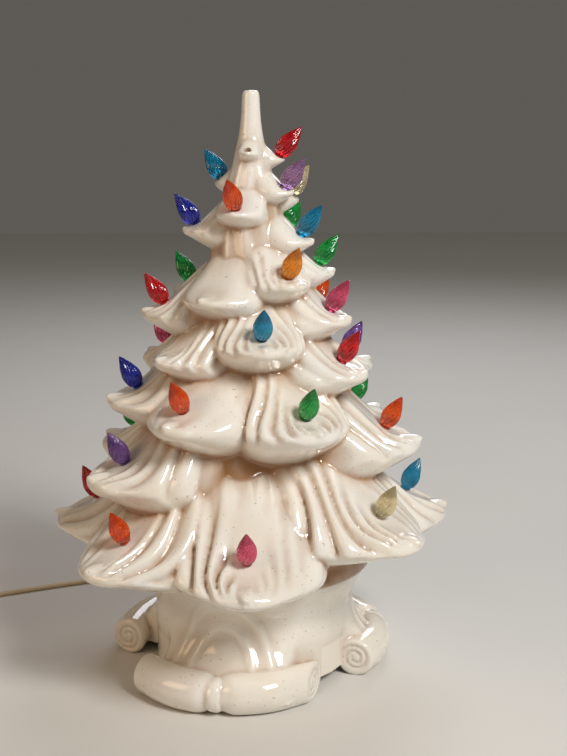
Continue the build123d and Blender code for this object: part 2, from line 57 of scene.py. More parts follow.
MIX_SHARE, MIX_FIRST, MIX_SECOND, MIX_RESULT = 0, 6, 7, 2  # sockets of a node that mixes colours
LONGEST_CREASE_EDGE = 12 * MM  # a point on a longer edge belongs to a flat that was cut
LIGHT_SHARP_ANGLE = 40.0  # degrees, keeps the ridges of the lights crisp


def linear(code: str) -> tuple[float, float, float, float]:
    """Turn an sRGB hex colour to a linear one.

    Args:
        code: Six hex digits.

    Returns:
        Red, green, blue and an alpha of one.
    """
    channels = [int(code[start:start + 2], 16) / 255 for start in (0, 2, 4)]
    return (*(c / 12.92 if c <= 0.04045 else ((c + 0.055) / 1.055) ** 2.4 for c in channels), 1.0)


def add_node(tree: bpy.types.NodeTree, kind: str, inputs: dict | None = None, **settings) -> bpy.types.Node:
    """Add a node with its settings, and set or link its inputs.

    Args:
        tree: Node tree that gets the node.
        kind: Identifier of the node's type.
        inputs: Socket name or number to a value, or to the output that feeds it.
        **settings: Attributes of the node.

    Returns:
        The new node.
    """
    made = tree.nodes.new(kind)
    for name, value in settings.items():
        setattr(made, name, value)
    for key, value in (inputs or {}).items():
        if isinstance(value, bpy.types.NodeSocket):
            tree.links.new(value, made.inputs[key])
        else:
            made.inputs[key].default_value = value
    return made


@dataclass
class Surface:
    """A material's nodes while a finish paints them.

    Attributes:
        tree: The material's node tree.
        shader: Its shader.
        place: Object coordinates.
    """

    tree: bpy.types.NodeTree
    shader: bpy.types.Node
    place: bpy.types.NodeSocket

    def feed(self, name: str, value: object) -> None:
        """Set one of the shader's inputs, or link it to the output that feeds it.

        Args:
            name: The input's name.
            value: A value or an output.
        """
        if isinstance(value, bpy.types.NodeSocket):
            self.tree.links.new(value, self.shader.inputs[name])
        else:
            self.shader.inputs[name].default_value = value

    def noise(self, size: float, detail: float = 2.0, spread: tuple[float, float] = (0.0, 1.0),
              span: tuple[float, float] = (0.3, 0.7)) -> bpy.types.NodeSocket:
        """Noise of a real size, spread between two values.

        Args:
            size: Width of one blotch, in metres.
            detail: Octaves of the noise.
            spread: Values at the two ends of the span.
            span: Part of the noise's own range that is used.

        Returns:
            The spread value.
        """
        inputs = {"Vector": self.place, "Scale": 1 / size, "Detail": detail}
        cloud = add_node(self.tree, "ShaderNodeTexNoise", inputs)
        inputs = {"Value": cloud.outputs["Fac"], "From Min": span[0], "From Max": span[1],
                  "To Min": spread[0], "To Max": spread[1]}
        return add_node(self.tree, "ShaderNodeMapRange", inputs).outputs["Result"]

    def mix(self, share: bpy.types.NodeSocket, first: str | bpy.types.NodeSocket,
            second: str) -> bpy.types.NodeSocket:
        """Mix two colours by a share.

        Args:
            share: Share of the second colour.
            first: Colour as sRGB hex, or an output.
            second: Colour as sRGB hex.

        Returns:
            The mixed colour.
        """
        under = linear(first) if isinstance(first, str) else first
        inputs = {MIX_SHARE: share, MIX_FIRST: under, MIX_SECOND: linear(second)}
        return add_node(self.tree, "ShaderNodeMix", inputs, data_type="RGBA").outputs[MIX_RESULT]

    def relief(self, size: float, depth: float, detail: float = 1.0) -> None:
        """Give the surface a fine relief.

        Args:
            size: Width of one bump, in metres.
            depth: Its depth in metres.
            detail: Octaves of the relief.
        """
        inputs = {"Height": self.noise(size, detail), "Distance": depth, "Strength": 1.0}
        self.feed("Normal", add_node(self.tree, "ShaderNodeBump", inputs).outputs["Normal"])


@dataclass(frozen=True)
class Finish:
    """A material made once, by its name.

    Attributes:
        name: Real material and how its surface was made.
        colour: Main colour as sRGB hex.
        roughness: Roughness of the surface.
    """

    name: str
    colour: str
    roughness: float

    def material(self) -> bpy.types.Material:
        """Look the material up, or make it at the first call.

        Returns:
            The material.
        """
        made = bpy.data.materials.get(self.name)
        if made:
            return made
        made = bpy.data.materials.new(self.name)
        made.use_nodes = True
        tree = made.node_tree
        tree.nodes.clear()
        shader = add_node(tree, "ShaderNodeBsdfPrincipled")
        add_node(tree, "ShaderNodeOutputMaterial", {"Surface": shader.outputs["BSDF"]})
        surface = Surface(tree, shader, add_node(tree, "ShaderNodeTexCoord").outputs["Object"])
        surface.feed("Base Color", linear(self.colour))
        surface.feed("Roughness", self.roughness)
        self.paint(surface)
        return made

    def paint(self, surface: Surface) -> None:
        """Add what this finish shows beyond its colour.

        Args:
            surface: The material's nodes.
        """
        raise NotImplementedError

    def uneven(self, shares: tuple[float, float]) -> tuple[float, float]:
        """Lowest and highest roughness, from their shares of the usual one."""
        return self.roughness * shares[0], self.roughness * shares[1]


@dataclass(frozen=True)
class IvoryGlaze(Finish):
    """Slip-cast earthenware under a clear glaze: glossy warm white, stained where the glaze pools in fine creases,
    and darkened with painted shade in the broad hollows under the branches.

    Attributes:
        warm: Colour of the broad warm clouds.
        pool: Colour of the glaze that pools in the fine creases, also used as painted shade in the broad hollows.
        speck: Colour of the rare iron specks.
        glow_radii: How far red, green and blue light spread under the glaze, as shares of glow_depth.
    """

    warm: str = "E6DAC6"
    pool: str = "A87C52"
    speck: str = "5A3B22"
    cloud_size: float = 38 * MM
    cloud_strength: float = 0.6
    speck_size: float = 1.5 * MM
    speck_strength: float = 0.45
    speck_span: tuple = (0.79, 0.82)
    ripple_size: float = 7 * MM
    ripple_depth: float = 0.05 * MM
    gloss_shares: tuple = (0.6, 1.5)
    index: float = 1.52
    coat: float = 0.5
    coat_roughness: float = 0.04
    glow: float = 0.12
    glow_radii: tuple = (1.0, 0.7, 0.4)
    glow_depth: float = 3 * MM

    def paint(self, surface: Surface) -> None:
        """Cloud, pool and speck the glaze, paint shade into its broad hollows, and ripple its gloss.

        Args:
            surface: The material's nodes.
        """
        cloud = surface.noise(self.cloud_size, 3.0, (0.0, self.cloud_strength))
        body = surface.mix(cloud, self.colour, self.warm)
        # The depth mark darkens the glaze towards the pool colour: pooled glaze in fine creases, painted shade in
        # broad hollows.
        crease_pool_and_shade = add_node(surface.tree, "ShaderNodeAttribute", attribute_name="crease_pool_and_shade").outputs["Fac"]
        body = surface.mix(crease_pool_and_shade, body, self.pool)
        dots = surface.noise(self.speck_size, 0.0, (0.0, self.speck_strength), self.speck_span)
        surface.feed("Base Color", surface.mix(dots, body, self.speck))
        surface.feed("Roughness", surface.noise(self.cloud_size / 2, spread=self.uneven(self.gloss_shares)))
        surface.relief(self.ripple_size, self.ripple_depth)
        surface.feed("IOR", self.index)
        surface.feed("Coat Weight", self.coat)
        surface.feed("Coat Roughness", self.coat_roughness)
        surface.feed("Subsurface Weight", self.glow)
        surface.feed("Subsurface Radius", self.glow_radii)
        surface.feed("Subsurface Scale", self.glow_depth)


@dataclass(frozen=True)
class TintedStyrene(Finish):
    """Moulded clear polystyrene with a dye: it glows in its colour and shines along its ribs.

    Attributes:
        deep: Colour where the plastic is thick.
        clearness: Share of the light that passes through.
    """

    deep: str = "000000"
    clearness: float = 0.72
    streak_size: float = 5 * MM
    streak_strength: float = 0.8
    flow_depth: float = 0.01 * MM
    index: float = 1.55

    def paint(self, surface: Surface) -> None:
        """Streak the dye and let light through.

        Args:
            surface: The material's nodes.
        """
        streak = surface.noise(self.streak_size, 1.0, (0.0, self.streak_strength))
        surface.feed("Base Color", surface.mix(streak, self.colour, self.deep))
        surface.relief(self.streak_size / 2, self.flow_depth)
        surface.feed("IOR", self.index)
        surface.feed("Transmission Weight", self.clearness)


@dataclass(frozen=True)
class VinylSheath(Finish):
    """Extruded or moulded soft vinyl: even and silky, a little darker where it was handled.

    Attributes:
        worn: Colour of the handled patches.
    """

    worn: str = "C4AE86"
    patch_size: float = 24 * MM
    patch_strength: float = 0.7
    grain_size: float = 1.2 * MM
    grain_depth: float = 0.03 * MM

    def paint(self, surface: Surface) -> None:
        """Patch the colour and give the skin its fine grain.

        Args:
            surface: The material's nodes.
        """
        patch = surface.noise(self.patch_size, 3.0, (0.0, self.patch_strength))
        surface.feed("Base Color", surface.mix(patch, self.colour, self.worn))
        surface.relief(self.grain_size, self.grain_depth, 2.0)


@dataclass(frozen=True)
class WorkedMetal(Finish):
    """Stamped, drawn or plated metal: bright, with tarnish in clouds and fine draw marks.

    Attributes:
        tarnish: Colour of the tarnished patches.
    """

    tarnish: str = "6E5530"
    cloud_size: float = 6 * MM
    cloud_strength: float = 0.6
    gloss_shares: tuple = (0.7, 1.4)
    mark_size: float = 0.6 * MM
    mark_depth: float = 0.01 * MM

    def paint(self, surface: Surface) -> None:
        """Tarnish the metal and roughen it a little.

        Args:
            surface: The material's nodes.
        """
        surface.feed("Metallic", 1.0)
        cloud = surface.noise(self.cloud_size, 3.0, (0.0, self.cloud_strength))
        surface.feed("Base Color", surface.mix(cloud, self.colour, self.tarnish))
        surface.feed("Roughness", surface.noise(self.cloud_size / 2, spread=self.uneven(self.gloss_shares)))
        surface.relief(self.mark_size, self.mark_depth)


@dataclass(frozen=True)
class BlownGlass(Finish):
    """Thin blown glass: clear, with the faint waves of blowing."""

    wave_size: float = 9 * MM
    wave_depth: float = 0.02 * MM
    index: float = 1.5

    def paint(self, surface: Surface) -> None:
        """Let the light through and wave the surface.

        Args:
            surface: The material's nodes.
        """
        surface.feed("Transmission Weight", 1.0)
        surface.feed("IOR", self.index)
        surface.relief(self.wave_size, self.wave_depth)


@dataclass(frozen=True)
class PaintedBoard(Finish):
    """Board under matt paint: plain and pale, with the faint clouds and grain of the roller.

    Attributes:
        shade: Colour of the clouds.
    """

    shade: str = "D8D5CF"
    cloud_size: float = 160 * MM
    grain_size: float = 2 * MM
    grain_depth: float = 0.02 * MM

    def paint(self, surface: Surface) -> None:
        """Cloud the paint and give it its grain.

        Args:
            surface: The material's nodes.
        """
        surface.feed("Base Color", surface.mix(surface.noise(self.cloud_size), self.colour, self.shade))
        surface.relief(self.grain_size, self.grain_depth)


GLAZE = IvoryGlaze("glazed_earthenware_ivory", "EFEBE3", 0.11)
BOARD = PaintedBoard("rolled_paint_pale", "DAD7D1", 0.7)
VINYL = VinylSheath("extruded_vinyl_cream", "D8C7A4", 0.42)
TIE_VINYL = VinylSheath("moulded_vinyl_white", "E2DED3", 0.5, worn="CFC8B8")
PHENOLIC = VinylSheath("moulded_phenolic_brown", "2A1D15", 0.34, worn="1A120D")
BRASS = WorkedMetal("stamped_brass", "C9A45C", 0.28)
STEEL = WorkedMetal("plated_spring_steel", "B9BBBE", 0.3, tarnish="85878A")
TUNGSTEN = WorkedMetal("drawn_tungsten_wire", "6B6B70", 0.4, tarnish="4A4A4E")
GLASS = BlownGlass("blown_lamp_glass", "FDFDFB", 0.02)


def styrene(word: str, colour: str, deep: str, clearness: float = 0.72) -> TintedStyrene:
    """Dyed polystyrene of one colour.

    Args:
        word: Colour word.
        colour: Colour where it is thin.
        deep: Colour where it is thick.
        clearness: Share of the light that passes through.

    Returns:
        The finish.
    """
    return TintedStyrene(f"moulded_polystyrene_{word}", colour, 0.09, deep, clearness)


class Dye(Enum):
    """Colours of the push-in lights, named as in the nodes' names."""

    RED = styrene("red", "EA1F2A", "B20A18")
    TEAL = styrene("teal", "10A2CE", "077A9F")
    BLUE = styrene("blue", "2A3EC4", "141F86")
    MAUVE = styrene("mauve", "C79BCE", "9A6CA6")
    CLEAR = styrene("clear", "F2E8C6", "D6C48A", 0.8)
    ORANGE = styrene("orange", "FF6A1C", "DE4A0E")
    AMBER = styrene("amber", "FFAA14", "E2820A")
    GREEN = styrene("green", "22BE58", "0E8438")
    PINK = styrene("pink", "F0648C", "CC3C66")
    PURPLE = styrene("purple", "9A6CBE", "6C4292")


def smoothstep(low: float, high: float, value: np.ndarray) -> np.ndarray:
    """Rise smoothly from zero to one between two values."""
    share = np.clip((value - low) / (high - low), 0, 1)
    return share * share * (3 - 2 * share)


def taper(stations: tuple, shares: tuple, where: np.ndarray) -> np.ndarray:
    """Smooth curve through a few shares that never overshoots them.

    Args:
        stations: Where the shares are given.
        shares: The shares there.
        where: Where the curve is read.

    Returns:
        The curve's values.
    """
    x, y = np.array(stations, float), np.array(shares, float)
    step = np.diff(x)
    slope = np.diff(y) / step
    least = 3 * np.minimum(abs(slope[:-1]), abs(slope[1:]))
    middle = np.clip((slope[:-1] + slope[1:]) / 2, -least, least) * (slope[:-1] * slope[1:] > 0)
    tangent = np.concatenate(([slope[0]], middle, [slope[-1]]))
    span = np.clip(np.searchsorted(x, where, side="right") - 1, 0, len(step) - 1)
    t = (where - x[span]) / step[span]
    start = (1 + 2 * t) * (1 - t) ** 2 * y[span] + t * (1 - t) ** 2 * step[span] * tangent[span]
    return start + t * t * (3 - 2 * t) * y[span + 1] + t * t * (t - 1) * step[span] * tangent[span + 1]


def full_turn(columns: int) -> np.ndarray:
    """Angles once round, in even steps."""
    return np.linspace(0, 2 * math.pi, columns, endpoint=False)


def add_object(name: str, data: bpy.types.ID) -> bpy.types.Object:
    """Make an object and link it to the scene.

    Args:
        name: The object's name.
        data: Its mesh, curve, lamp or camera.

    Returns:
        The object.
    """
    made = bpy.data.objects.new(name, data)
    bpy.context.scene.collection.objects.link(made)
    return made


def tube_faces(rows: int, columns: int, first: int = 0) -> list[tuple]:
    """Faces of a tube of rings, with both ends closed.

    Args:
        rows: Number of rings.
        columns: Points in a ring.
        first: Number of the first point.

    Returns:
        Faces as tuples of point numbers.
    """
    numbers = first + np.arange(rows * columns).reshape(rows, columns)
    after = np.roll(numbers, -1, axis=1)
    sides = np.stack([numbers[:-1], after[:-1], after[1:], numbers[1:]], axis=-1).reshape(-1, 4)
    return [*map(tuple, sides.tolist()), tuple(numbers[0, ::-1].tolist()), tuple(numbers[-1].tolist())]


def mesh_of(name: str, rings: list[np.ndarray]) -> bpy.types.Object:
    """Make an object of closed tubes.

    Args:
        name: The object's name.
        rings: For each tube, its points as rows, columns and three.

    Returns:
        The object, linked to the scene.
    """
    points, faces = [], []
    for tube in rings:
        rows, columns = tube.shape[:2]
        faces += tube_faces(rows, columns, sum(len(p) for p in points))
        points.append(tube.reshape(-1, 3))
    mesh = bpy.data.meshes.new(name)
    mesh.from_pydata(np.concatenate(points).tolist(), [], faces)
    return add_object(name, mesh)


def settle(piece: bpy.types.Object) -> None:
    """Turn a piece's modifiers into its plain mesh."""
    graph = bpy.context.evaluated_depsgraph_get()
    mesh = bpy.data.meshes.new_from_object(piece.evaluated_get(graph))
    piece.modifiers.clear()
    old, piece.data = piece.data, mesh
    bpy.data.meshes.remove(old)


def merge(piece: bpy.types.Object, voxel: float, smoothing: int, kept: float = 1.0) -> None:
    """Melt overlapping closed forms into one skin, with the soft creases of a glaze.

    Args:
        piece: Object that holds the forms.
        voxel: Size of a cell of the new skin.
        smoothing: Rounds of smoothing.
        kept: Share of the skin's faces that is kept.
    """
    melt = piece.modifiers.new("melt", "REMESH")
    melt.mode = "VOXEL"
    melt.voxel_size = voxel
    soft = piece.modifiers.new("soften", "SMOOTH")
    soft.factor = 0.5
    soft.iterations = smoothing
    if kept < 1:
        thin = piece.modifiers.new("thin", "DECIMATE")
        thin.ratio = kept
    settle(piece)


def combine(piece: bpy.types.Object, forms: list[bpy.types.Object], operation: str = "DIFFERENCE") -> None:
    """Cut forms out of a piece, or join them to it, and remove them.

    Args:
        piece: The piece that is changed.
        forms: Closed forms.
        operation: The Boolean modifier's operation.
    """
    for form in forms:
        knife = piece.modifiers.new("combine", "BOOLEAN")
        knife.operation = operation
        knife.solver = "MANIFOLD"
        knife.object = form
    settle(piece)
    for form in forms:
        bpy.data.objects.remove(form)


def revolve(name: str, profile: list[tuple[float, float]], columns: int = 96) -> bpy.types.Object:
    """Turn a closed profile about the axis.

    Args:
        name: The object's name.
        profile: Radii and heights, from the bottom up.
        columns: Points in a ring.

    Returns:
        The object.
    """
    return mesh_of(name, [lathe(profile, columns)])


def lathe(profile: list[tuple[float, float]], columns: int = 96) -> np.ndarray:
    """Rings of a profile turned about the axis.

    Args:
        profile: Radii and heights, from the bottom up.
        columns: Points in a ring.

    Returns:
        Points as rows, columns and three.
    """
    turn = full_turn(columns)
    radius, height = (np.array(values)[:, None] for values in zip(*profile))
    return np.stack([radius * np.cos(turn), radius * np.sin(turn), height + 0 * turn], axis=-1)


def dress(piece: bpy.types.Object, finish: Finish, body: str, sharp: float = 50.0) -> None:
    """Shade a piece, give it its finish and let it ride on its body.

    Args:
        piece: The piece.
        finish: Its finish.
        body: CAD body that it moves with.
        sharp: Edges that turn by more than this stay sharp, in degrees.
    """
    piece.data.materials.clear()
    piece.data.materials.append(finish.material())
    piece.data.polygons.foreach_set("use_smooth", [True] * len(piece.data.polygons))
    piece.data.set_sharp_from_angle(angle=math.radians(sharp))
    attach(piece, body)
    LOG.info("%s: %d faces on %s", piece.name, len(piece.data.polygons), body)


def mark_pool_and_shade(piece: bpy.types.Object, scales: tuple[tuple[int, float], ...],
                 ceiling: float = 1.0) -> None:
    """Store how deep each point lies in a crease or a broad hollow, from zero to one, for the glaze to darken by:
    pooled glaze in the fine creases, painted shade in the broad hollows.

    Args:
        piece: The piece.
        scales: Rounds of smoothing that the mesh is compared with, and the depth that counts as one.
        ceiling: Height from which no point counts.
    """
    mesh = piece.data
    count = len(mesh.vertices)
    place = np.empty(count * 3)
    mesh.vertices.foreach_get("co", place)
    normal = np.empty(count * 3)
    mesh.vertices.foreach_get("normal", normal)
    ends = np.empty(len(mesh.edges) * 2, int)
    mesh.edges.foreach_get("vertices", ends)
    place, normal, ends = place.reshape(-1, 3), normal.reshape(-1, 3), ends.reshape(-1, 2)
    links = np.maximum(np.bincount(ends.ravel(), minlength=count), 1)[:, None]

    def level(values: np.ndarray) -> np.ndarray:
        """Average each point's value with those of its neighbours."""
        total = np.zeros_like(values)
        np.add.at(total, ends[:, 0], values[ends[:, 1]])
        np.add.at(total, ends[:, 1], values[ends[:, 0]])
        return 0.5 * values + 0.5 * total / links

    flat, done, crease_pool_and_shade = place, 0, np.zeros((count, 1))
    # A fine scale finds the creases where glaze pools; a broad scale finds the hollows where shade is painted.
    for rounds, depth in scales:
        for _ in range(rounds - done):
            flat = level(flat)
        done = rounds
        sunk = np.clip(np.einsum("ij,ij->i", flat - place, normal) / depth, 0, 1)[:, None]
        crease_pool_and_shade = np.maximum(crease_pool_and_shade, sunk)
    span = np.linalg.norm(place[ends[:, 0]] - place[ends[:, 1]], axis=1)
    longest = np.zeros(count)
    for end in ends.T:
        np.maximum.at(longest, end, span)
    marked = (longest < LONGEST_CREASE_EDGE) & (place[:, 2] < ceiling)
    crease_pool_and_shade = level(level(crease_pool_and_shade)) * marked[:, None]
    attribute = mesh.attributes.new("crease_pool_and_shade", "FLOAT", "POINT")
    attribute.data.foreach_set("value", crease_pool_and_shade.ravel().astype(np.float32))


def outward(azimuth: float) -> np.ndarray:
    """Unit vector that points away from the axis at an azimuth in degrees."""
    return np.array([math.sin(math.radians(azimuth)), -math.cos(math.radians(azimuth)), 0.0])


@dataclass(frozen=True)
class Folds:
    """How a branch's apron is carved.

    Attributes:
        left: Depth of the folds on the left, seen from outside, as a share of the usual depth.
        right: The same on the right.
        count: Folds from the middle to the hem.
        bend: How far a fold swings from the middle to the hem on its way to the tip.
        curl: How late it swings.
    """

    left: float
    right: float
    count: float
    bend: float
    curl: float


class Carving(Enum):
    """Kinds of carved branches."""

    SMOOTH = Folds(0.2, 0.2, 1.5, 0.5, 1.5)
    PLEATED = Folds(0.75, 0.75, 3.0, 0.75, 1.6)
    SWAGGED = Folds(1.0, 1.0, 3.4, 1.2, 1.25)
    LEFT_SWEPT = Folds(1.15, 0.25, 3.8, 0.9, 1.7)
    RIGHT_SWEPT = Folds(0.25, 1.15, 3.8, 0.9, 1.7)


BRANCH_SHARES = [
    (90, 0.86, 0.16, 0.37, Carving.SMOOTH),
    (-8, 0.875, 0.14, 0.37, Carving.SMOOTH),
    (-125, 0.81, 0.205, 0.37, Carving.SMOOTH),
    (175, 0.865, 0.155, 0.37, Carving.SMOOTH),
    (60, 0.795, 0.225, 0.37, Carving.SMOOTH),
    (112, 0.775, 0.245, 0.37, Carving.PLEATED),
    (170, 0.78, 0.24, 0.37, Carving.PLEATED),
    (-20, 0.755, 0.265, 0.44, Carving.SMOOTH),
    (-160, 0.73, 0.295, 0.37, Carving.PLEATED),
    (-88, 0.715, 0.325, 0.37, Carving.PLEATED),
    (68, 0.695, 0.315, 0.37, Carving.SMOOTH),
    (140, 0.695, 0.335, 0.37, Carving.PLEATED),
    (92, 0.625, 0.4, 0.37, Carving.PLEATED),
    (30, 0.615, 0.415, 0.37, Carving.SWAGGED),
    (160, 0.6, 0.425, 0.37, Carving.SWAGGED),
    (-32, 0.585, 0.445, 0.44, Carving.SMOOTH),
    (-125, 0.575, 0.455, 0.37, Carving.PLEATED),
    (-165, 0.56, 0.475, 0.37, Carving.PLEATED),
    (-88, 0.54, 0.525, 0.37, Carving.PLEATED),
    (66, 0.535, 0.505, 0.37, Carving.PLEATED),
    (130, 0.52, 0.515, 0.37, Carving.SWAGGED),
    (6, 0.495, 0.545, 0.37, Carving.SWAGGED),
    (-52, 0.46, 0.555, 0.37, Carving.RIGHT_SWEPT),
    (168, 0.45, 0.595, 0.37, Carving.PLEATED),
    (60, 0.43, 0.61, 0.37, Carving.PLEATED),
    (-122, 0.425, 0.62, 0.37, Carving.SWAGGED),
    (112, 0.41, 0.64, 0.37, Carving.PLEATED),
    (-80, 0.36, 0.7, 0.37, Carving.PLEATED),
    (-34, 0.345, 0.705, 0.37, Carving.SMOOTH),
    (25, 0.335, 0.715, 0.37, Carving.SWAGGED),
    (-138, 0.325, 0.725, 0.37, Carving.PLEATED),
    (180, 0.3, 0.76, 0.37, Carving.SWAGGED),
    (122, 0.28, 0.78, 0.37, Carving.PLEATED),
    (80, 0.265, 0.82, 0.37, Carving.PLEATED),
    (-116, 0.225, 0.835, 0.37, Carving.PLEATED),
    (-62, 0.215, 0.855, 0.37, Carving.PLEATED),
    (-157, 0.185, 0.885, 0.37, Carving.PLEATED),
    (161, 0.17, 0.9, 0.37, Carving.SWAGGED),
    (51, 0.115, 0.96, 0.37, Carving.LEFT_SWEPT),
    (100, 0.085, 1.0, 0.37, Carving.PLEATED),
    (139, 0.07, 0.985, 0.37, Carving.PLEATED),
    (-98, 0.077, 1.0, 0.37, Carving.PLEATED),
    (-138, 0.075, 0.99, 0.37, Carving.SWAGGED),
    (-48, 0.07, 1.0, 0.37, Carving.RIGHT_SWEPT),
    (183, 0.07, 0.98, 0.37, Carving.PLEATED),
    (-2, 0.065, 0.98, 0.37, Carving.LEFT_SWEPT),
]


@dataclass
class Branch:
    """One branch of the tree: a carved apron over a smooth belly.

    Attributes:
        azimuth: Where it points.
        height: Height of its tip.
        reach: Distance of its tip from the axis.
        half_width: Half its width at the root.
        rise: How far its top climbs at the root.
        drop: How far its belly hangs at the root.
        folds: How its apron is carved.
    """

    azimuth: float
    height: float
    reach: float
    half_width: float
    rise: float
    drop: float
    folds: Folds
    root_share: float = 0.36
    stations: tuple = (0.0, 0.4, 0.66, 0.86, 0.96, 1.0)
    width_shares: tuple = (1.0, 0.98, 0.8, 0.48, 0.24, 0.0)
    rise_shares: tuple = (1.0, 0.5, 0.2, 0.09, 0.06, 0.0)
    drop_shares: tuple = (1.0, 0.72, 0.46, 0.24, 0.13, 0.0)
    fold_share: float = 0.06
    sag_share: float = 0.03
    sag_power: int = 3
    droop_share: float = 0.0
    droop_power: int = 4
    waver_share: float = 0.1
    waver_waves: float = 6.0
    ripple_share: float = 0.04
    ripple_waves: float = 8.0
    ridge_power: float = 0.8
    ridge_level: float = 0.6
    root_fade_shares: tuple = (0.05, 0.3)
    tip_fade_shares: tuple = (0.84, 0.96)
    hem_fade_shares: tuple = (-0.3, 0.05)
    middle_fade_shares: tuple = (0.14, 0.42)
    tip_crowding: float = 1.4
    last_ring_share: float = 0.999
    rows: int = 80
    columns: int = 144
    nose_share: float = 0.062
    nose_lift_share: float = 0.008
    nose_length_share: float = 1.9
    nose_back_share: float = 1.75
    nose_climb_share: float = 0.45
    nose_pinch_share: float = 0.25
    nose_flat_share: float = 0.8
    nose_rows: int = 14
    nose_columns: int = 24
    hollow_shares: tuple = (-0.3, 0.7)
    hollow_rows: int = 14
    hollow_columns: int = 32
    least_hollow_rows: int = 7

    def placed(self, along: np.ndarray, across: np.ndarray, height: np.ndarray) -> np.ndarray:
        """Put points of a section in the tree's frame.

        Args:
            along: Shares of the way from root to tip.
            across: Distances to the right, seen from outside.
            height: Heights above the tip.

        Returns:
            The points.
        """
        out = outward(self.azimuth)
        side = np.cross(UP_ROW, out)
        radius = self.reach * (self.root_share + (1 - self.root_share) * along)
        return radius[..., None] * out + across[..., None] * side + (self.height + height)[..., None] * UP_ROW

    def sizes(self, along: np.ndarray) -> list[np.ndarray]:
        """Sizes of the section on the way from root to tip.

        Args:
            along: Shares of the way.

        Returns:
            Half width, rise and drop.
        """
        roots = (self.half_width, self.rise, self.drop)
        tapers = (self.width_shares, self.rise_shares, self.drop_shares)
        return [root * taper(self.stations, shares, along) for root, shares in zip(roots, tapers)]

    def sag(self, along: np.ndarray, turn: np.ndarray) -> np.ndarray:
        """How far the hems hang below the middle, in metres."""
        return self.sag_share * self.reach * (1 - along) * abs(np.cos(turn)) ** self.sag_power

    def fold_depth(self, along: np.ndarray, turn: np.ndarray) -> np.ndarray:
        """Depth of the carving at each point, in metres, positive outwards.

        Args:
            along: Shares of the way from root to tip.
            turn: Angle round the section, from the right hem over the top.

        Returns:
            The depth.
        """
        side = np.cos(turn)
        swing = abs(side) - self.folds.bend * along ** self.folds.curl
        swing = swing + self.waver_share * np.sin(self.waver_waves * along + self.azimuth)
        swing = swing + self.ripple_share * np.sin(self.ripple_waves * side + 2 * self.azimuth)
        ridge = abs(np.sin(math.pi * self.folds.count * swing)) ** self.ridge_power - self.ridge_level
        strength = np.where(side < 0, self.folds.left, self.folds.right)
        reachable = smoothstep(*self.root_fade_shares, along) * (1 - smoothstep(*self.tip_fade_shares, along))
        apron = smoothstep(*self.hem_fade_shares, np.sin(turn))
        apron = apron * smoothstep(*self.middle_fade_shares, abs(side))
        return self.fold_share * self.reach * strength * reachable * apron * ridge

    def outside(self) -> np.ndarray:
        """Shape the carved outer form.

        Returns:
            Its rings, from root to tip.
        """
        along = 1 - (1 - np.linspace(0, 1, self.rows)) ** self.tip_crowding
        along[-1] = self.last_ring_share
        along, turn = np.meshgrid(along, full_turn(self.columns), indexing="ij")
        width, rise, drop = self.sizes(along)
        tall = np.where(np.sin(turn) > 0, rise, drop)
        lean = np.stack([np.cos(turn) / width, np.sin(turn) / tall])
        lean = lean / np.linalg.norm(lean, axis=0)
        depth = self.fold_depth(along, turn)
        across = width * np.cos(turn) + depth * lean[0]
        sag = self.sag(along, turn) + self.droop_share * self.reach * along ** self.droop_power
        return self.placed(along, across, tall * np.sin(turn) + depth * lean[1] - sag)

    def nose(self) -> np.ndarray:
        """Shape the blunt nub at the tip.

        Returns:
            Its rings.
        """
        turn = full_turn(self.nose_columns)[None]
        lift = np.linspace(-math.pi / 2, math.pi / 2, self.nose_rows)[1:-1, None]
        size = self.nose_share * self.reach
        ahead = self.nose_length_share * np.sin(lift) - self.nose_back_share
        along = 1 + self.nose_share * ahead / (1 - self.root_share)
        foot = (self.nose_lift_share - self.droop_share) * self.reach
        rise = foot + self.nose_climb_share * size * np.sin(lift)
        width = size * np.cos(lift) * (1 - self.nose_pinch_share * np.sin(lift))
        height = rise + self.nose_flat_share * width * np.sin(turn)
        return self.placed(along + 0 * turn, width * np.cos(turn), height)

    def inside(self, wall: float, least: float) -> np.ndarray | None:
        """Rings of the hollow, one wall in, or None where the branch is cast solid.

        Args:
            wall: Thickness of the wall.
            least: Smallest half height worth casting.

        Returns:
            The rings.
        """
        along = np.linspace(*self.hollow_shares, self.hollow_rows)
        wall = wall + self.fold_share * self.reach * self.ridge_level
        width, rise, drop = (size - wall for size in self.sizes(np.maximum(along, 0)))
        open_rows = np.minimum(np.minimum(rise, drop), width) > least
        if open_rows.sum() < self.least_hollow_rows:
            return None
        turn = full_turn(self.hollow_columns)[None]
        along, rise, drop, width = (v[open_rows][:, None] for v in (along, rise, drop, width))
        height = np.where(np.sin(turn) > 0, rise, drop) * np.sin(turn) - self.sag(np.maximum(along, 0), turn)
        return self.placed(along + 0 * turn, width * np.cos(turn), height)


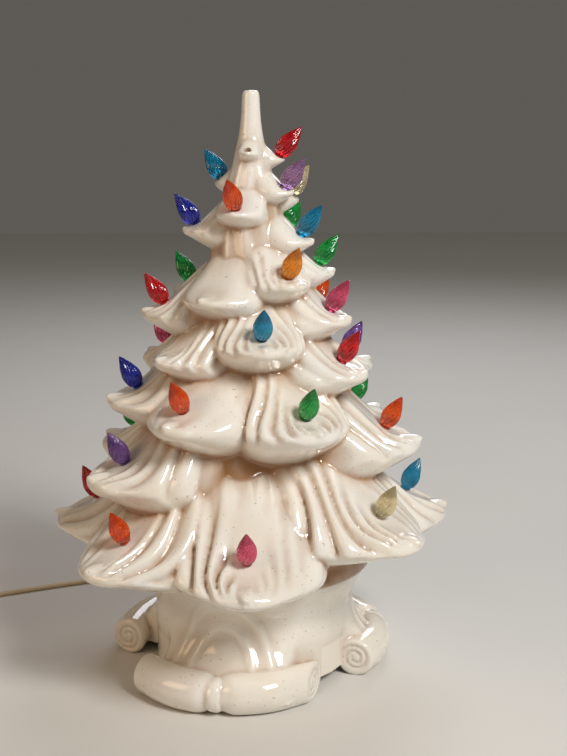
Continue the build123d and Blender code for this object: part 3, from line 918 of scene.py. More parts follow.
@dataclass
class PushLight:
    """A push-in light: a flame of twisted ribs on a collar and a peg, made by a node tree.

    Attributes:
        height: Height of the flame.
        radius: Largest radius of the flame.
        ribs: Ribs round the flame.
        twist: Turn of the ribs from foot to tip, in degrees.
        rib_share: Depth between the ribs, as a share of the radius.
        collar_radius: Radius of the collar.
        collar: Height of the collar.
        peg_radius: Radius of the peg.
        peg: Length of the peg.
    """

    height: float = 24 * MM
    radius: float = 6.6 * MM
    ribs: float = 14.0
    twist: float = 75.0
    rib_share: float = 0.13
    collar_radius: float = 3.6 * MM
    collar: float = 1.4 * MM
    peg_radius: float = 2.3 * MM
    peg: float = 9 * MM
    outline_shares: tuple = ((0.0, 0.0), (0.015, 0.52), (0.12, 0.86), (0.34, 1.0), (0.6, 0.77), (0.82, 0.4),
                             (0.95, 0.14), (1.0, 0.0))
    segments: int = 112
    rings: int = 40
    rod_columns: int = 32
    collar_rise_share: float = 0.55
    peg_rise_share: float = -0.5
    tree: bpy.types.NodeTree = field(init=False)

    def __post_init__(self) -> None:
        """Build the node tree once."""
        self.tree = self.flame_tree()

    def sizes(self) -> dict[str, float]:
        """Sizes of a light, by the names of the node tree's inputs."""
        return {"Height": self.height, "Radius": self.radius, "Ribs": self.ribs, "Twist": self.twist,
                "Rib Share": self.rib_share, "Collar Radius": self.collar_radius, "Collar": self.collar,
                "Peg Radius": self.peg_radius, "Peg": self.peg}

    def flame_tree(self) -> bpy.types.NodeTree:
        """Build the tree that shapes a light, standing on its collar.

        Returns:
            The node tree, with its sizes as named inputs.
        """
        tree = bpy.data.node_groups.new("twisted_light", "GeometryNodeTree")
        for name in self.sizes():
            tree.interface.new_socket(name, in_out="INPUT", socket_type="NodeSocketFloat")
        tree.interface.new_socket("Plastic", in_out="INPUT", socket_type="NodeSocketMaterial")
        tree.interface.new_socket("Geometry", in_out="OUTPUT", socket_type="NodeSocketGeometry")
        size = add_node(tree, "NodeGroupInput").outputs

        def maths(operation: str, *values) -> bpy.types.NodeSocket:
            """Add a sum and return its result."""
            return add_node(tree, "ShaderNodeMath", dict(enumerate(values)), operation=operation).outputs[0]

        ball = add_node(tree, "GeometryNodeMeshUVSphere",
                        {"Segments": self.segments, "Rings": self.rings, "Radius": 1.0})
        place = add_node(tree, "GeometryNodeInputPosition").outputs[0]
        x, y, z = add_node(tree, "ShaderNodeSeparateXYZ", {0: place}).outputs
        share = maths("MULTIPLY_ADD", z, 0.5, 0.5)
        angle = maths("ARCTAN2", y, x)
        outline = add_node(tree, "ShaderNodeFloatCurve", {"Value": share})
        curve = outline.mapping.curves[0]
        curve.points[0].location, curve.points[1].location = self.outline_shares[0], self.outline_shares[-1]
        for point in self.outline_shares[1:-1]:
            curve.points.new(*point)
        outline.mapping.update()
        turned = maths("SUBTRACT", angle, maths("MULTIPLY", maths("RADIANS", size["Twist"]), share))
        half_ribs = maths("MULTIPLY", size["Ribs"], 0.5)
        wave = maths("ABSOLUTE", maths("SINE", maths("MULTIPLY", turned, half_ribs)))
        groove = maths("SUBTRACT", 1.0, maths("MULTIPLY", size["Rib Share"], maths("SUBTRACT", 1.0, wave)))
        radius = maths("MULTIPLY", maths("MULTIPLY", size["Radius"], outline.outputs[0]), groove)
        spot = add_node(tree, "ShaderNodeCombineXYZ", {
            "X": maths("MULTIPLY", radius, maths("COSINE", angle)),
            "Y": maths("MULTIPLY", radius, maths("SINE", angle)),
            "Z": maths("MULTIPLY_ADD", size["Height"], share, size["Collar"]),
        })
        flame = add_node(tree, "GeometryNodeSetPosition", {0: ball.outputs[0], "Position": spot.outputs[0]})
        stem = []
        for name, rise_share in (("Collar", self.collar_rise_share), ("Peg", self.peg_rise_share)):
            inputs = {"Vertices": self.rod_columns, "Radius": size[f"{name} Radius"], "Depth": size[name]}
            rod = add_node(tree, "GeometryNodeMeshCylinder", inputs)
            rise = add_node(tree, "ShaderNodeCombineXYZ", {"Z": maths("MULTIPLY", size[name], rise_share)})
            moved = {0: rod.outputs[0], "Translation": rise.outputs[0]}
            stem.append(add_node(tree, "GeometryNodeTransform", moved).outputs[0])
        joined = add_node(tree, "GeometryNodeJoinGeometry", {0: flame.outputs[0]})
        for rod in stem:
            tree.links.new(rod, joined.inputs[0])
        whole = add_node(tree, "GeometryNodeRealizeInstances", {0: joined.outputs[0]})
        dyed = add_node(tree, "GeometryNodeSetMaterial", {0: whole.outputs[0], "Material": size["Plastic"]})
        add_node(tree, "NodeGroupOutput", {0: dyed.outputs[0]})
        return tree

    def build(self, name: str, finish: Finish, seat: Matrix) -> bpy.types.Object:
        """Make one light in its place.

        Args:
            name: The piece's name.
            finish: Its plastic.
            seat: Where its collar stands, with Z along the light.

        Returns:
            The light.
        """
        light = add_object(name, bpy.data.meshes.new(name))
        shaped = light.modifiers.new("shape", "NODES")
        shaped.node_group = self.tree
        values = {**self.sizes(), "Plastic": finish.material()}
        for socket in self.tree.interface.items_tree:
            if socket.name in values:
                shaped[socket.identifier] = values[socket.name]
        settle(light)
        light.data.transform(seat)
        return light

    def seat_of(self, node: str, axis: Vector) -> Matrix:
        """Where a light's collar stands, read from its CAD node.

        Args:
            node: The light's CAD node.
            axis: Direction of the light.

        Returns:
            The place, with Z along the light.
        """
        points = np.array([v.co for v in frame["nodes"][node].data.vertices])
        reach = points @ np.array(axis)
        low, high = reach.min(), reach.max()
        tip = points[reach.argmax()]
        foot = Vector(tip) - axis * (high - low - self.peg)
        return Matrix.Translation(foot) @ UP.rotation_difference(axis).to_matrix().to_4x4()


@dataclass
class CarvedTree:
    """The cast tree: branches on a trunk with a bare stem, hollow, and drilled for the lights.

    Attributes:
        foot: Height of the rim.
        height: Height of the tree above its rim.
        reach: Longest reach of a branch.
        wall: Thickness of the wall.
    """

    foot: float = 80 * MM
    height: float = 326 * MM
    reach: float = 145 * MM
    wall: float = 5.5 * MM
    rim_radius: float = 84 * MM
    shoulder: float = 280 * MM
    shoulder_radius: float = 12 * MM
    stem_radius: float = 5.7 * MM
    stem_waist_radius: float = 7.6 * MM
    stem_waist_share: float = 0.45
    stem_round: float = 2.2 * MM
    bore_radius: float = 2.6 * MM
    bore_depth: float = 24 * MM
    glow_hole_radius: float = 1.6 * MM
    cavity_top: float = 284 * MM
    cavity_top_radius: float = 4.5 * MM
    rise_share: float = 0.48
    drop_share: float = 0.34
    low_drop_share: float = 0.23
    low_droop_share: float = 0.03
    low_tier_share: float = 0.12
    least_hollow: float = 3.2 * MM
    flow_share: float = 0.03
    flow_waves: int = 11
    flow_swing: float = 2.5
    flow_height: float = 23 * MM
    low_lean: float = 24.0
    high_lean: float = 42.0
    seat_radius: float = 4.2 * MM
    seat_gap: float = 0.3 * MM
    hole_depth: float = 26 * MM
    overrun: float = 4 * MM
    voxel: float = 1.2 * MM
    kept: float = 0.32
    inner_voxel: float = 4.5 * MM
    smoothing: int = 2
    # Fine scale: glaze pooled in creases; broad scale: painted shade in the hollows under the branches.
    crease_scales: tuple = ((24, 1.6 * MM), (140, 5 * MM))
    bare_branch: int = 1
    light_station: int = 2
    stem_rows: int = 24
    cone_rows: int = 40
    round_rows: int = 6
    trunk_columns: int = 144
    inner_columns: int = 72
    bore_columns: int = 32
    drill_columns: int = 24
    floor_columns: int = 8

    def branches(self) -> list[Branch]:
        """Work out the branches at their real sizes.

        Returns:
            The branches.
        """
        made = []
        for azimuth, height, reach, breadth, carving in BRANCH_SHARES:
            out = self.reach * reach
            drop = self.low_drop_share if height < self.low_tier_share else self.drop_share
            branch = Branch(azimuth, self.foot + self.height * height, out, out * breadth,
                            out * self.rise_share, out * drop, carving.value)
            branch.droop_share = self.low_droop_share if height < self.low_tier_share else 0.0
            made.append(branch)
        return made

    def trunk(self) -> np.ndarray:
        """Shape the trunk and its stem.

        Returns:
            Their rings, from the rim up.
        """
        shoulder, top = self.foot + self.shoulder, self.foot + self.height
        stations = (shoulder, shoulder + (top - shoulder) * self.stem_waist_share, top)
        heights = np.linspace(shoulder, top - self.stem_round, self.stem_rows)
        radii = (self.shoulder_radius, self.stem_waist_radius, self.stem_radius)
        profile = [(self.rim_radius, self.foot - self.overrun), (self.rim_radius, self.foot)]
        cone = np.linspace(0, 1, self.cone_rows)[1:-1]
        profile += [(self.rim_radius + (self.shoulder_radius - self.rim_radius) * c,
                     self.foot + self.shoulder * c) for c in cone]
        profile += list(zip(taper(stations, radii, heights), heights))
        for turn in np.linspace(0, math.pi / 2, self.round_rows):
            inset = self.stem_round * (1 - math.cos(turn))
            profile.append((self.stem_radius - inset, top - self.stem_round * (1 - math.sin(turn))))
        rings = lathe(profile, self.trunk_columns)
        x, y, z = np.moveaxis(rings, -1, 0)
        turn = self.flow_waves * np.arctan2(y, x) + self.flow_swing * np.sin(z / self.flow_height)
        flow = 1 + self.flow_share * np.sin(turn) * smoothstep(self.foot, 2 * self.foot, z) * (z < shoulder)
        return np.stack([x * flow, y * flow, z], axis=-1)

    def inside(self, branches: list[Branch]) -> bpy.types.Object:
        """Shape the tree's hollow as one form.

        Args:
            branches: The branches.

        Returns:
            The form.
        """
        inner = self.rim_radius - self.wall
        cone = lathe([(inner, self.foot - 3 * self.overrun), (inner, self.foot),
                      (self.cavity_top_radius, self.foot + self.cavity_top)], self.inner_columns)
        forms = [branch.inside(self.wall, self.least_hollow) for branch in branches]
        hollow = mesh_of("tree_inside", [cone, *(form for form in forms if form is not None)])
        merge(hollow, self.inner_voxel, self.smoothing)
        return hollow

    def drill(self, seats: list[Matrix], depth: float, collar: bool) -> bpy.types.Object:
        """Cutters for the lights' holes, with or without their seats.

        Args:
            seats: Where the collars stand, with Z along the lights.
            depth: Depth of the holes.
            collar: Whether the seat is cut too.

        Returns:
            The cutters as one object.
        """
        rings = []
        for seat in seats:
            low = -self.seat_gap
            profile = [(self.bore_radius, low - depth), (self.bore_radius, low)]
            if collar:
                profile += [(self.seat_radius, low), (self.seat_radius, low + self.overrun)]
            else:
                profile += [(self.bore_radius, low + 2 * self.overrun)]
            rod = lathe(profile, self.drill_columns)
            spots = [seat @ Vector(p) for p in rod.reshape(-1, 3)]
            rings.append(np.array(spots).reshape(rod.shape))
        return mesh_of("drillings", rings)

    def build(self, seats: list[Matrix]) -> bpy.types.Object:
        """Carve, hollow and drill the tree.

        Args:
            seats: Where the lights' collars stand.

        Returns:
            The tree.
        """
        branches = self.branches()
        forms = [self.trunk(), *(b.outside() for b in branches), *(b.nose() for b in branches)]
        tree = mesh_of("carved_tree", forms)
        merge(tree, self.voxel, self.smoothing, self.kept)
        top = self.foot + self.height
        step = top - self.bore_depth
        bore = revolve("bore", [(self.glow_hole_radius, self.foot + self.cavity_top - self.overrun),
                                (self.glow_hole_radius, step), (self.bore_radius, step),
                                (self.bore_radius, top + self.overrun)], self.bore_columns)
        wide = 2 * self.reach
        floor = revolve("floor_cut", [(wide, 0), (wide, self.foot)], self.floor_columns)
        combine(tree, [floor, self.inside(branches), bore, self.drill(seats, self.hole_depth, True),
                       self.drill([self.bare_hole()], self.overrun, False)])
        # Marks where the glaze darkens: pooled glaze in the fine creases, painted shade in the broad hollows under
        # the branches.
        mark_pool_and_shade(tree, self.crease_scales)
        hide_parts("tree_shell")
        dress(tree, GLAZE, "tree")
        return tree

    def bare_hole(self) -> Matrix:
        """Find the hole near the top that has no light.

        Returns:
            Its seat, with Z along the hole.
        """
        branch = self.branches()[self.bare_branch]
        height_share = BRANCH_SHARES[self.bare_branch][1]
        lean = math.radians(self.low_lean + (self.high_lean - self.low_lean) * height_share)
        out = outward(branch.azimuth)
        axis = Vector(out * math.sin(lean)) + UP * math.cos(lean)
        along = branch.stations[self.light_station]
        radius = branch.reach * (branch.root_share + (1 - branch.root_share) * along)
        height = branch.height + branch.rise * branch.rise_shares[self.light_station]
        spot = Vector(out * radius) + UP * height
        return Matrix.Translation(spot) @ UP.rotation_difference(axis).to_matrix().to_4x4()


@dataclass
class ScrollBase:
    """The cast base: a waisted drum whose hem is rolled into three scrolls, each tied by a strap.

    Attributes:
        height: Height of the ledge that carries the tree.
        wall: Thickness of the wall.
        azimuth: Azimuth of the first scroll's strap.
        eyes: Azimuth, radius and outward slant of each scroll's two spiral eyes.
    """

    height: float = 80 * MM
    wall: float = 6 * MM
    azimuth: float = -16.0
    top_radius: float = 83 * MM
    waist_radius: float = 70 * MM
    hem_radius: float = 86 * MM
    skirt_radius: float = 79 * MM
    skirt_height: float = 20 * MM
    hem: float = 7 * MM
    half_span: float = 40.0
    flare_height: float = 48 * MM
    flare_reach: float = 9 * MM
    notch_radius: float = 70 * MM
    roll_radius: float = 13.5 * MM
    roll_bow: float = 5 * MM
    roll_height: float = 13 * MM
    strap_ring: float = 91 * MM
    eyes: tuple = (
        ((-54.0, 91 * MM, 0.0), (29.0, 80 * MM, 0.75)),
        ((66.0, 79 * MM, 0.0), (144.0, 86 * MM, 0.3)),
        ((184.0, 86 * MM, 0.3), (264.0, 92 * MM, 0.0)),
    )
    ring_radius: float = 70 * MM
    ring_wall: float = 4 * MM
    ring_height: float = 5 * MM
    lamp_hole: float = 12 * MM
    arch_sizes: tuple = ((30 * MM, 46 * MM), (19 * MM, 30 * MM))
    arch_foot: float = 22 * MM
    arch_relief: float = 1.8 * MM
    arch_ridge: float = 2.4 * MM
    hem_swell: float = 2 * MM
    gather_depth: float = 0.9 * MM
    gather_waves: float = 27.0
    neck_share: float = 0.26
    neck_spread: float = 0.09
    swell_share: float = 0.05
    eye_round: float = 2.6 * MM
    spiral_pitch: float = 4.1 * MM
    spiral_depth: float = 2.2 * MM
    spiral_spread: float = 0.2
    strap_half_width: float = 4.4 * MM
    strap_share: float = 0.8
    strap_crown_share: float = 0.07
    strap_rib_share: float = 0.03
    strap_ribs: int = 4
    waist_share: float = 0.5
    arch_overlap: float = 4 * MM
    fade_before: float = 10.0
    fade_after: float = 2.0
    notch_steepness: float = 1.5
    swell_top_share: float = 0.6
    hem_waves: int = 3
    gather_fade: tuple = (26.0, 50.0)
    eye_middle_share: float = 0.03
    groove_fade_shares: tuple = (0.05, 0.2)
    slant_share: float = 0.4
    ceiling_walls: float = 1.5
    voxel: float = 1.0 * MM
    kept: float = 0.4
    smoothing: int = 3
    # Fine scale: glaze pooled in creases; broad scale: painted shade in the base's broad hollows.
    crease_scales: tuple = ((24, 1.4 * MM), (100, 5 * MM))
    side_rows: int = 48
    drum_columns: int = 400
    roll_rows: int = 30
    round_rows: int = 5
    eye_rows: int = 26
    roll_columns: int = 96
    strap_rows: int = 13
    strap_columns: int = 72
    ring_columns: int = 144
    hole_columns: int = 64
    floor_columns: int = 8

    def pitch(self) -> float:
        """Degrees from one scroll's strap to the next."""
        return 360 / len(self.eyes)

    def side_profile(self, inset: float) -> list[tuple[float, float]]:
        """Radii and heights of the side, from the hem up.

        Args:
            inset: How far the profile is drawn in.

        Returns:
            The profile.
        """
        waist = self.skirt_height + (self.height - self.skirt_height) * self.waist_share
        heights = np.linspace(self.hem, self.height, self.side_rows)
        radii = taper((self.hem, self.skirt_height, waist, self.height),
                      (self.hem_radius, self.skirt_radius, self.waist_radius, self.top_radius), heights)
        return [(radius - inset, height) for radius, height in zip(radii, heights)]

    def drum(self) -> np.ndarray:
        """Shape the drum, with the raised arches and the gathers over each strap.

        Returns:
            Its rings, from the hem up.
        """
        rings = lathe(self.side_profile(0), self.drum_columns)
        x, y, z = np.moveaxis(rings, -1, 0)
        azimuth = np.degrees(np.arctan2(x, -y))
        half_pitch = self.pitch() / 2
        offset = (azimuth - self.azimuth + half_pitch) % self.pitch() - half_pitch
        across = np.radians(offset) * self.waist_radius
        grow = np.zeros_like(z)
        arch_low = self.arch_foot - self.arch_overlap
        for half_width, height in self.arch_sizes:
            arch = np.hypot(across / half_width, (z - self.arch_foot) / height)
            ridge = np.exp(-(((arch - 1) * half_width / self.arch_ridge) ** 2)) * (z > arch_low)
            grow += self.arch_relief * ridge
        fall = np.clip((self.flare_height - z) / (self.flare_height - self.skirt_height), 0, 1)
        fade_from, fade_to = self.half_span - self.fade_before, self.half_span + self.fade_after
        near_roll = 1 - smoothstep(fade_from, fade_to, abs(offset))
        grow += self.flare_reach * fall**2 * near_roll
        spread = np.maximum(np.hypot(x, y) - self.notch_radius, 0)
        grow -= spread * smoothstep(0, 1, self.notch_steepness * fall) * (1 - near_roll)
        flare = (1 - smoothstep(self.hem, self.swell_top_share * self.height, z)) * near_roll
        grow += self.hem_swell * flare * np.cos(np.radians(offset) * self.hem_waves)
        gathers = np.sin(np.radians(offset) * self.gather_waves) * smoothstep(*self.gather_fade, abs(offset))
        grow += self.gather_depth * flare * gathers
        scale = 1 + grow / np.hypot(x, y)
        return np.stack([x * scale, y * scale, z], axis=-1)

    def roll_middle(self, azimuth: float, radius: float) -> np.ndarray:
        """Point on the line that a scroll is rolled about."""
        return outward(azimuth) * radius + UP_ROW * self.roll_height

    def roll(self, azimuth: float, side: int, eye: tuple[float, float, float]) -> np.ndarray:
        """Rings of half a scroll, from its strap to the spiral eye.

        Args:
            azimuth: Azimuth of the strap.
            side: Which half, minus one or one.
            eye: Azimuth, radius and outward slant of the eye.

        Returns:
            The rings.
        """
        start = self.roll_middle(azimuth, self.strap_ring)
        end = self.roll_middle(eye[0], eye[1])
        length = np.linalg.norm(end - start)
        axis = (end - start) / length
        right = np.cross(axis, UP_ROW)
        turn = full_turn(self.roll_columns)
        rows = []
        for share in np.linspace(0, 1, self.roll_rows):
            neck = 1 - self.neck_share * math.exp(-((share / self.neck_spread) ** 2))
            swell = 1 + self.swell_share * math.sin(math.pi * share)
            rows.append((share * length, self.roll_radius * neck * swell + 0 * turn))
        rim = self.roll_radius - self.eye_round
        for lift in np.linspace(0, math.pi / 2, self.round_rows)[1:]:
            radius = self.roll_radius - self.eye_round * (1 - math.cos(lift))
            rows.append((length + self.eye_round * math.sin(lift), radius + 0 * turn))
        face = length + self.eye_round
        for share in np.linspace(1, self.eye_middle_share, self.eye_rows)[1:]:
            radius = rim * share + 0 * turn
            spiral = (radius / self.spiral_pitch - side * turn / (2 * math.pi)) % 1
            groove = np.exp(-(((spiral - 0.5) / self.spiral_spread) ** 2))
            groove = groove * smoothstep(*self.groove_fade_shares, np.array(share))
            rows.append((face - self.spiral_depth * groove, radius))
        rings = []
        away = outward((azimuth + eye[0]) / 2)
        for far, radius in rows:
            out = radius[:, None] * (np.cos(turn)[:, None] * right + np.sin(turn)[:, None] * UP_ROW)
            share = min(float(np.max(far)) / length, 1)
            bow = self.roll_bow * math.sin(math.pi * share) * away
            slant = eye[2] * side * radius * np.cos(turn) * smoothstep(self.slant_share, 1, np.array(share))
            rings.append(start + (far - slant)[:, None] * axis + out + bow)
        return np.array(rings)

    def strap(self, azimuth: float) -> np.ndarray:
        """Rings of the strap that draws a scroll in.

        Args:
            azimuth: Azimuth of the strap.

        Returns:
            The rings.
        """
        middle = self.roll_middle(azimuth, self.strap_ring)
        axis = np.cross(UP_ROW, outward(azimuth))
        turn = full_turn(self.strap_columns)
        out = np.cos(turn)[:, None] * outward(azimuth) + np.sin(turn)[:, None] * UP_ROW
        rings = []
        for far in np.linspace(-1, 1, self.strap_rows):
            crown = self.strap_crown_share * math.cos(math.pi * far / 2)
            rib = self.strap_rib_share * math.cos(self.strap_ribs * math.pi * far)
            radius = self.roll_radius * (self.strap_share + crown - rib)
            rings.append(middle + far * self.strap_half_width * axis + radius * out)
        return np.array(rings)

    def build(self) -> bpy.types.Object:
        """Shape the base, hollow it and make its lamp hole.

        Returns:
            The base.
        """
        forms = [self.drum()]
        for number, (low_eye, high_eye) in enumerate(self.eyes):
            azimuth = self.azimuth + self.pitch() * number
            forms += [self.roll(azimuth, -1, low_eye), self.roll(azimuth, 1, high_eye), self.strap(azimuth)]
        base = mesh_of("scroll_base", forms)
        merge(base, self.voxel, self.smoothing, self.kept)
        inner = self.ring_radius - self.ring_wall
        low, top = self.height - self.wall / 2, self.height + self.ring_height
        ring = revolve("ring", [(inner, low), (self.ring_radius, low), (self.ring_radius, top), (inner, top)],
                       self.ring_columns)
        self.close_ring(ring)
        combine(base, [ring], "UNION")
        widest = self.notch_radius - self.wall
        hollow = [(min(r, widest), min(z, self.height - self.wall)) for r, z in self.side_profile(self.wall)]
        hollow = [(hollow[0][0], -2 * self.wall), *hollow]
        wide = 2 * self.strap_ring
        lamp_hole = [(self.lamp_hole, self.height / 2), (self.lamp_hole, 2 * self.height)]
        combine(base, [
            revolve("floor_cut", [(wide, -4 * self.wall), (wide, 0)], self.floor_columns),
            revolve("hollow", hollow, self.ring_columns),
            revolve("lamp_hole", lamp_hole, self.hole_columns),
        ])
        # Marks where the glaze darkens: pooled glaze in the fine creases, painted shade in the broad hollows.
        mark_pool_and_shade(base, self.crease_scales, self.height - self.ceiling_walls * self.wall)
        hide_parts("base_shell")
        dress(base, GLAZE, "base")
        return base

    @staticmethod
    def close_ring(ring: bpy.types.Object) -> None:
        """Join the two ends of a turned profile into a closed ring."""
        mesh = ring.data
        count = len(mesh.vertices)
        columns = count // 4
        faces = [tuple(p.vertices) for p in mesh.polygons][:-2]
        last = count - columns
        faces += [(last + i, last + (i + 1) % columns, (i + 1) % columns, i) for i in range(columns)]
        points = [v.co[:] for v in mesh.vertices]
        mesh.clear_geometry()
        mesh.from_pydata(points, [], faces)


@dataclass
class FlatLead:
    """The flat twin lead from the socket to its plug, with the unseen length in a tied coil.

    Attributes:
        width: Width of the lead.
        thickness: Thickness of the lead.
        lie: Height of its middle on the floor.
        azimuth: Where it leaves the base.
    """

    width: float = 5.4 * MM
    thickness: float = 2.8 * MM
    lie: float = 1.5 * MM
    azimuth: float = 174.0
    length: float = 1.97
    exit_radius: float = 84 * MM
    inside_route: tuple = ((0.0, 0.046), (0.0, 0.0315), (0.0065, 0.017), (0.019, 0.0065), (0.035, 0.0015),
                           (0.05, 0.0015))
    floor_route: tuple = ((0.008, 0.119), (-0.014, 0.15), (-0.048, 0.164), (-0.086, 0.163), (-0.122, 0.153),
                          (-0.157, 0.141), (-0.19, 0.1275), (-0.221, 0.114), (-0.249, 0.1), (-0.274, 0.0855))
    coil_radius: float = 41.1 * MM
    coil_pitch: float = 6 * MM
    coil_turns: int = 3
    coil_layer: float = 3.4 * MM
    coil_lead: float = 36 * MM
    plug_rise: float = 6.3 * MM
    points_per_half: int = 8
    tail_shares: tuple = (0.3, 0.65, 1.0)
    core_half_span: float = 125.0
    core_points: int = 15
    steep_share: float = 0.7
    line_order: int = 3
    line_steps: int = 6

    def coil_points(self, start: Vector, heading: Vector) -> list[Vector]:
        """Points of the coil, which spirals in, climbs a layer and spirals out to the plug.

        Args:
            start: Last point of the route on the floor.
            heading: Direction of the lead there.

        Returns:
            The points.
        """
        side = heading.cross(UP)
        middle = start + heading * self.width - side * self.coil_radius
        half_step = self.coil_pitch / 2
        points = []

        def half_turn(begin: float, end: float, low: float, high: float) -> None:
            """Go half round, from one distance to another, and climb."""
            centre, radius = (begin + end) / 2, (begin - end) / 2
            for step in range(1, self.points_per_half + 1):
                share = step / self.points_per_half
                angle = math.pi * share
                spot = middle + side * (centre + radius * math.cos(angle))
                spot = spot + heading * radius * math.sin(angle) + UP * (low + (high - low) * share)
                points.append(spot)

        layer = self.coil_layer
        turns = [(-half_step, 0, 0)] * (2 * self.coil_turns)
        turns += [(-half_step, 0, layer), (self.coil_pitch + half_step, layer, layer)]
        turns += [(half_step, layer, layer)] * (2 * self.coil_turns)
        far, sign = self.coil_radius, 1
        for growth, low, high in turns:
            half_turn(sign * far, -sign * (far + growth), low, high)
            far, sign = far + growth, -sign
        tail = middle + side * far
        for share in self.tail_shares:
            lift = layer + (self.plug_rise - self.lie - layer) * share
            points.append(tail + heading * self.coil_lead * share + UP * lift)
        return points

    def route(self) -> list[Vector]:
        """Lay out the lead's line, from the socket to the plug.

        Returns:
            Its control points.
        """
        out = Vector(outward(self.azimuth))
        points = [out * radius + UP * height for radius, height in self.inside_route]
        points.append(out * self.exit_radius + UP * self.lie)
        points += [Vector((x, y, self.lie)) for x, y in self.floor_route]
        heading = (points[-1] - points[-2]).normalized()
        return points + self.coil_points(points[-1], heading)

    def line(self) -> np.ndarray:
        """Read points from the route's smooth line.

        Returns:
            The points.
        """
        curve = bpy.data.curves.new("lead_route", "CURVE")
        curve.dimensions = "3D"
        spline = curve.splines.new("NURBS")
        route = self.route()
        spline.points.add(len(route) - 1)
        for point, spot in zip(spline.points, route):
            point.co = (*spot, 1)
        spline.order_u = self.line_order
        spline.use_endpoint_u = True
        spline.resolution_u = self.line_steps
        holder = add_object("lead_route", curve)
        bpy.context.view_layer.update()
        graph = bpy.context.evaluated_depsgraph_get()
        mesh = bpy.data.meshes.new_from_object(holder.evaluated_get(graph))
        points = np.array([v.co for v in mesh.vertices])
        bpy.data.objects.remove(holder)
        bpy.data.meshes.remove(mesh)
        return points

    def section(self) -> np.ndarray:
        """Draw two round cores side by side with a groove between them.

        Returns:
            The outline's points.
        """
        core = self.thickness / 2
        shift = self.width / 2 - core
        angles = np.radians(np.linspace(-self.core_half_span, self.core_half_span, self.core_points))
        right = [(shift + core * math.cos(a), core * math.sin(a)) for a in angles]
        left = [(-x, -y) for x, y in right]
        return np.array(right + left)

    def build(self, pieces: list[bpy.types.Object]) -> bpy.types.Object:
        """Make the lead along its line.

        Args:
            pieces: What is on the lead; not used.

        Returns:
            The lead.
        """
        line = self.line()
        along = np.gradient(line, axis=0)
        flat = np.cross(UP_ROW, along)
        start = np.cross(UP_ROW, outward(self.azimuth))
        steep = np.linalg.norm(flat, axis=1) < self.steep_share * np.linalg.norm(along, axis=1)
        flat[steep] = start
        flat /= np.linalg.norm(flat, axis=1)[:, None]
        rise = np.cross(along, flat)
        rise /= np.linalg.norm(rise, axis=1)[:, None]
        outline = self.section()
        rings = line[:, None] + outline[None, :, :1] * flat[:, None] + outline[None, :, 1:] * rise[:, None]
        lead = mesh_of("flat_lead", [rings])
        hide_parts("cord_inside", "cord_run", "cord_coil")
        dress(lead, VINYL, "base")
        return lead


@dataclass
class LampKit:
    """The socket and lamp in the base, and the plug and tie on the lead, which keep their solids."""

    finishes: dict = field(default_factory=lambda: {
        "lamp_socket": PHENOLIC, "socket_screw_shell": BRASS, "socket_contact": BRASS, "socket_clip": STEEL,
        "lamp_cap": BRASS, "lamp_bulb": GLASS, "lamp_mount": GLASS, "lamp_filament": TUNGSTEN,
        "coil_tie": TIE_VINYL, "plug_body": VINYL, "plug_blades": BRASS,
    })

    def dress(self) -> None:
        """Give each solid that stays its finish."""
        for node, finish in self.finishes.items():
            solid = frame["nodes"][node]
            solid.data.materials.clear()
            solid.data.materials.append(finish.material())
            LOG.info("%s keeps its solid", node)


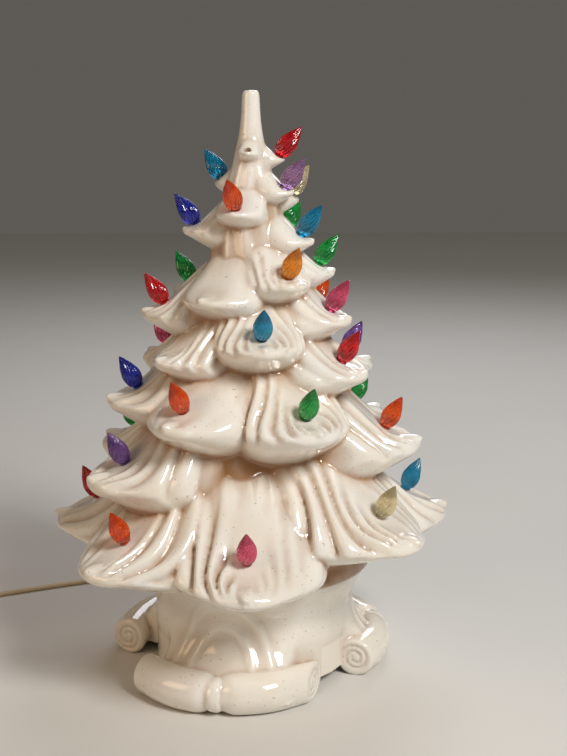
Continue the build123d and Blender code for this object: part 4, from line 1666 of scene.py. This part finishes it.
@dataclass
class Studio:
    """Floor, lamps and camera.

    Attributes:
        distance: Distance of the camera from the tree's axis.
        height: Height of the camera.
        pitch: How far it looks down, in degrees.
        yaw: How far it looks to the right, in degrees.
        focal_pixels: Focal length in pixels of the picture.
        picture_height: Height of the picture in pixels.
        lamps: Name, place, width, power in watts and colour of each lamp.
    """

    distance: float = 0.86
    height: float = 0.4
    pitch: float = 12.5
    yaw: float = 1.46
    focal_pixels: float = 1257.0
    picture_height: float = 756.0
    near_clip: float = 0.01
    floor_size: float = 6.0
    aim_height: float = 0.2
    sky: str = "EDE6DC"
    sky_strength: float = 0.13
    lamps: tuple = (
        ("key", (0.85, -1.05, 1.3), 0.5, 25.0, "FFFEFC"),
        ("fill", (-1.2, -0.7, 0.75), 0.7, 4.5, "FFD8AE"),
        ("back", (0.3, 1.2, 1.2), 0.8, 8.0, "F4F6FF"),
    )

    def camera(self) -> None:
        """Put the camera where the picture was taken."""
        data = bpy.data.cameras.new("camera")
        data.sensor_fit = "VERTICAL"
        data.lens = data.sensor_height * self.focal_pixels / self.picture_height
        data.clip_start = self.near_clip
        camera = add_object("camera", data)
        camera.location = (0, -self.distance, self.height)
        camera.rotation_euler = (math.radians(90 - self.pitch), 0, math.radians(-self.yaw))
        bpy.context.scene.camera = camera

    def floor(self) -> None:
        """Lay the pale floor."""
        half = self.floor_size / 2
        mesh = bpy.data.meshes.new("floor")
        corners = [(-half, -half, 0), (half, -half, 0), (half, half, 0), (-half, half, 0)]
        mesh.from_pydata(corners, [], [(0, 1, 2, 3)])
        mesh.materials.append(BOARD.material())
        floor = add_object("floor", mesh)

    def lamp(self, name: str, place: tuple, size: float, power: float, colour: str) -> None:
        """Hang a soft lamp that faces the tree.

        Args:
            name: The lamp's name.
            place: Where it hangs.
            size: Width of its panel.
            power: Power in watts.
            colour: Colour of its light.
        """
        data = bpy.data.lights.new(name, "AREA")
        data.size = size
        data.energy = power
        data.color = linear(colour)[:3]
        lamp = add_object(name, data)
        lamp.location = place
        aim = UP * self.aim_height - Vector(place)
        lamp.rotation_euler = aim.to_track_quat("-Z", "Y").to_euler()

    def build(self) -> None:
        """Set up the studio."""
        scene = bpy.context.scene
        scene.view_settings.view_transform = "Standard"
        world = bpy.data.worlds.new("studio")
        world.use_nodes = True
        background = world.node_tree.nodes["Background"]
        background.inputs["Color"].default_value = linear(self.sky)
        background.inputs["Strength"].default_value = self.sky_strength
        scene.world = world
        self.camera()
        self.floor()
        for lamp in self.lamps:
            self.lamp(*lamp)


def light_bodies() -> list[tuple[str, str, Vector]]:
    """Find the lights in the frame.

    Returns:
        For each light its CAD node, its body and its direction.
    """
    bodies = frame["record"]["behaviour"]["bodies"]
    found = []
    for joint in frame["joints"]:
        node = bodies[joint["child"]][0]
        if node.startswith("light_"):
            found.append((node, joint["child"], Vector(joint["axis"]).normalized()))
    return found


def main() -> None:
    """Build the studio, the lead, the tree, its lights, the base and the lamp kit."""
    logging.basicConfig(level=logging.INFO, format="%(message)s")
    Studio().build()
    LampKit().dress()
    FlatLead().build([frame["nodes"][name] for name in ("coil_tie", "plug_body", "plug_blades")])
    light = PushLight()
    seats = []
    for node, body, axis in light_bodies():
        word = node.split("_")[-1]
        dye = Dye[word.upper()].value
        seat = light.seat_of(node, axis)
        seats.append(seat)
        piece = light.build(f"twist_{node}", dye, seat)
        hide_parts(node)
        dress(piece, dye, body, LIGHT_SHARP_ANGLE)
    CarvedTree().build(seats)
    ScrollBase().build()


if __name__ == "__main__":
    main()
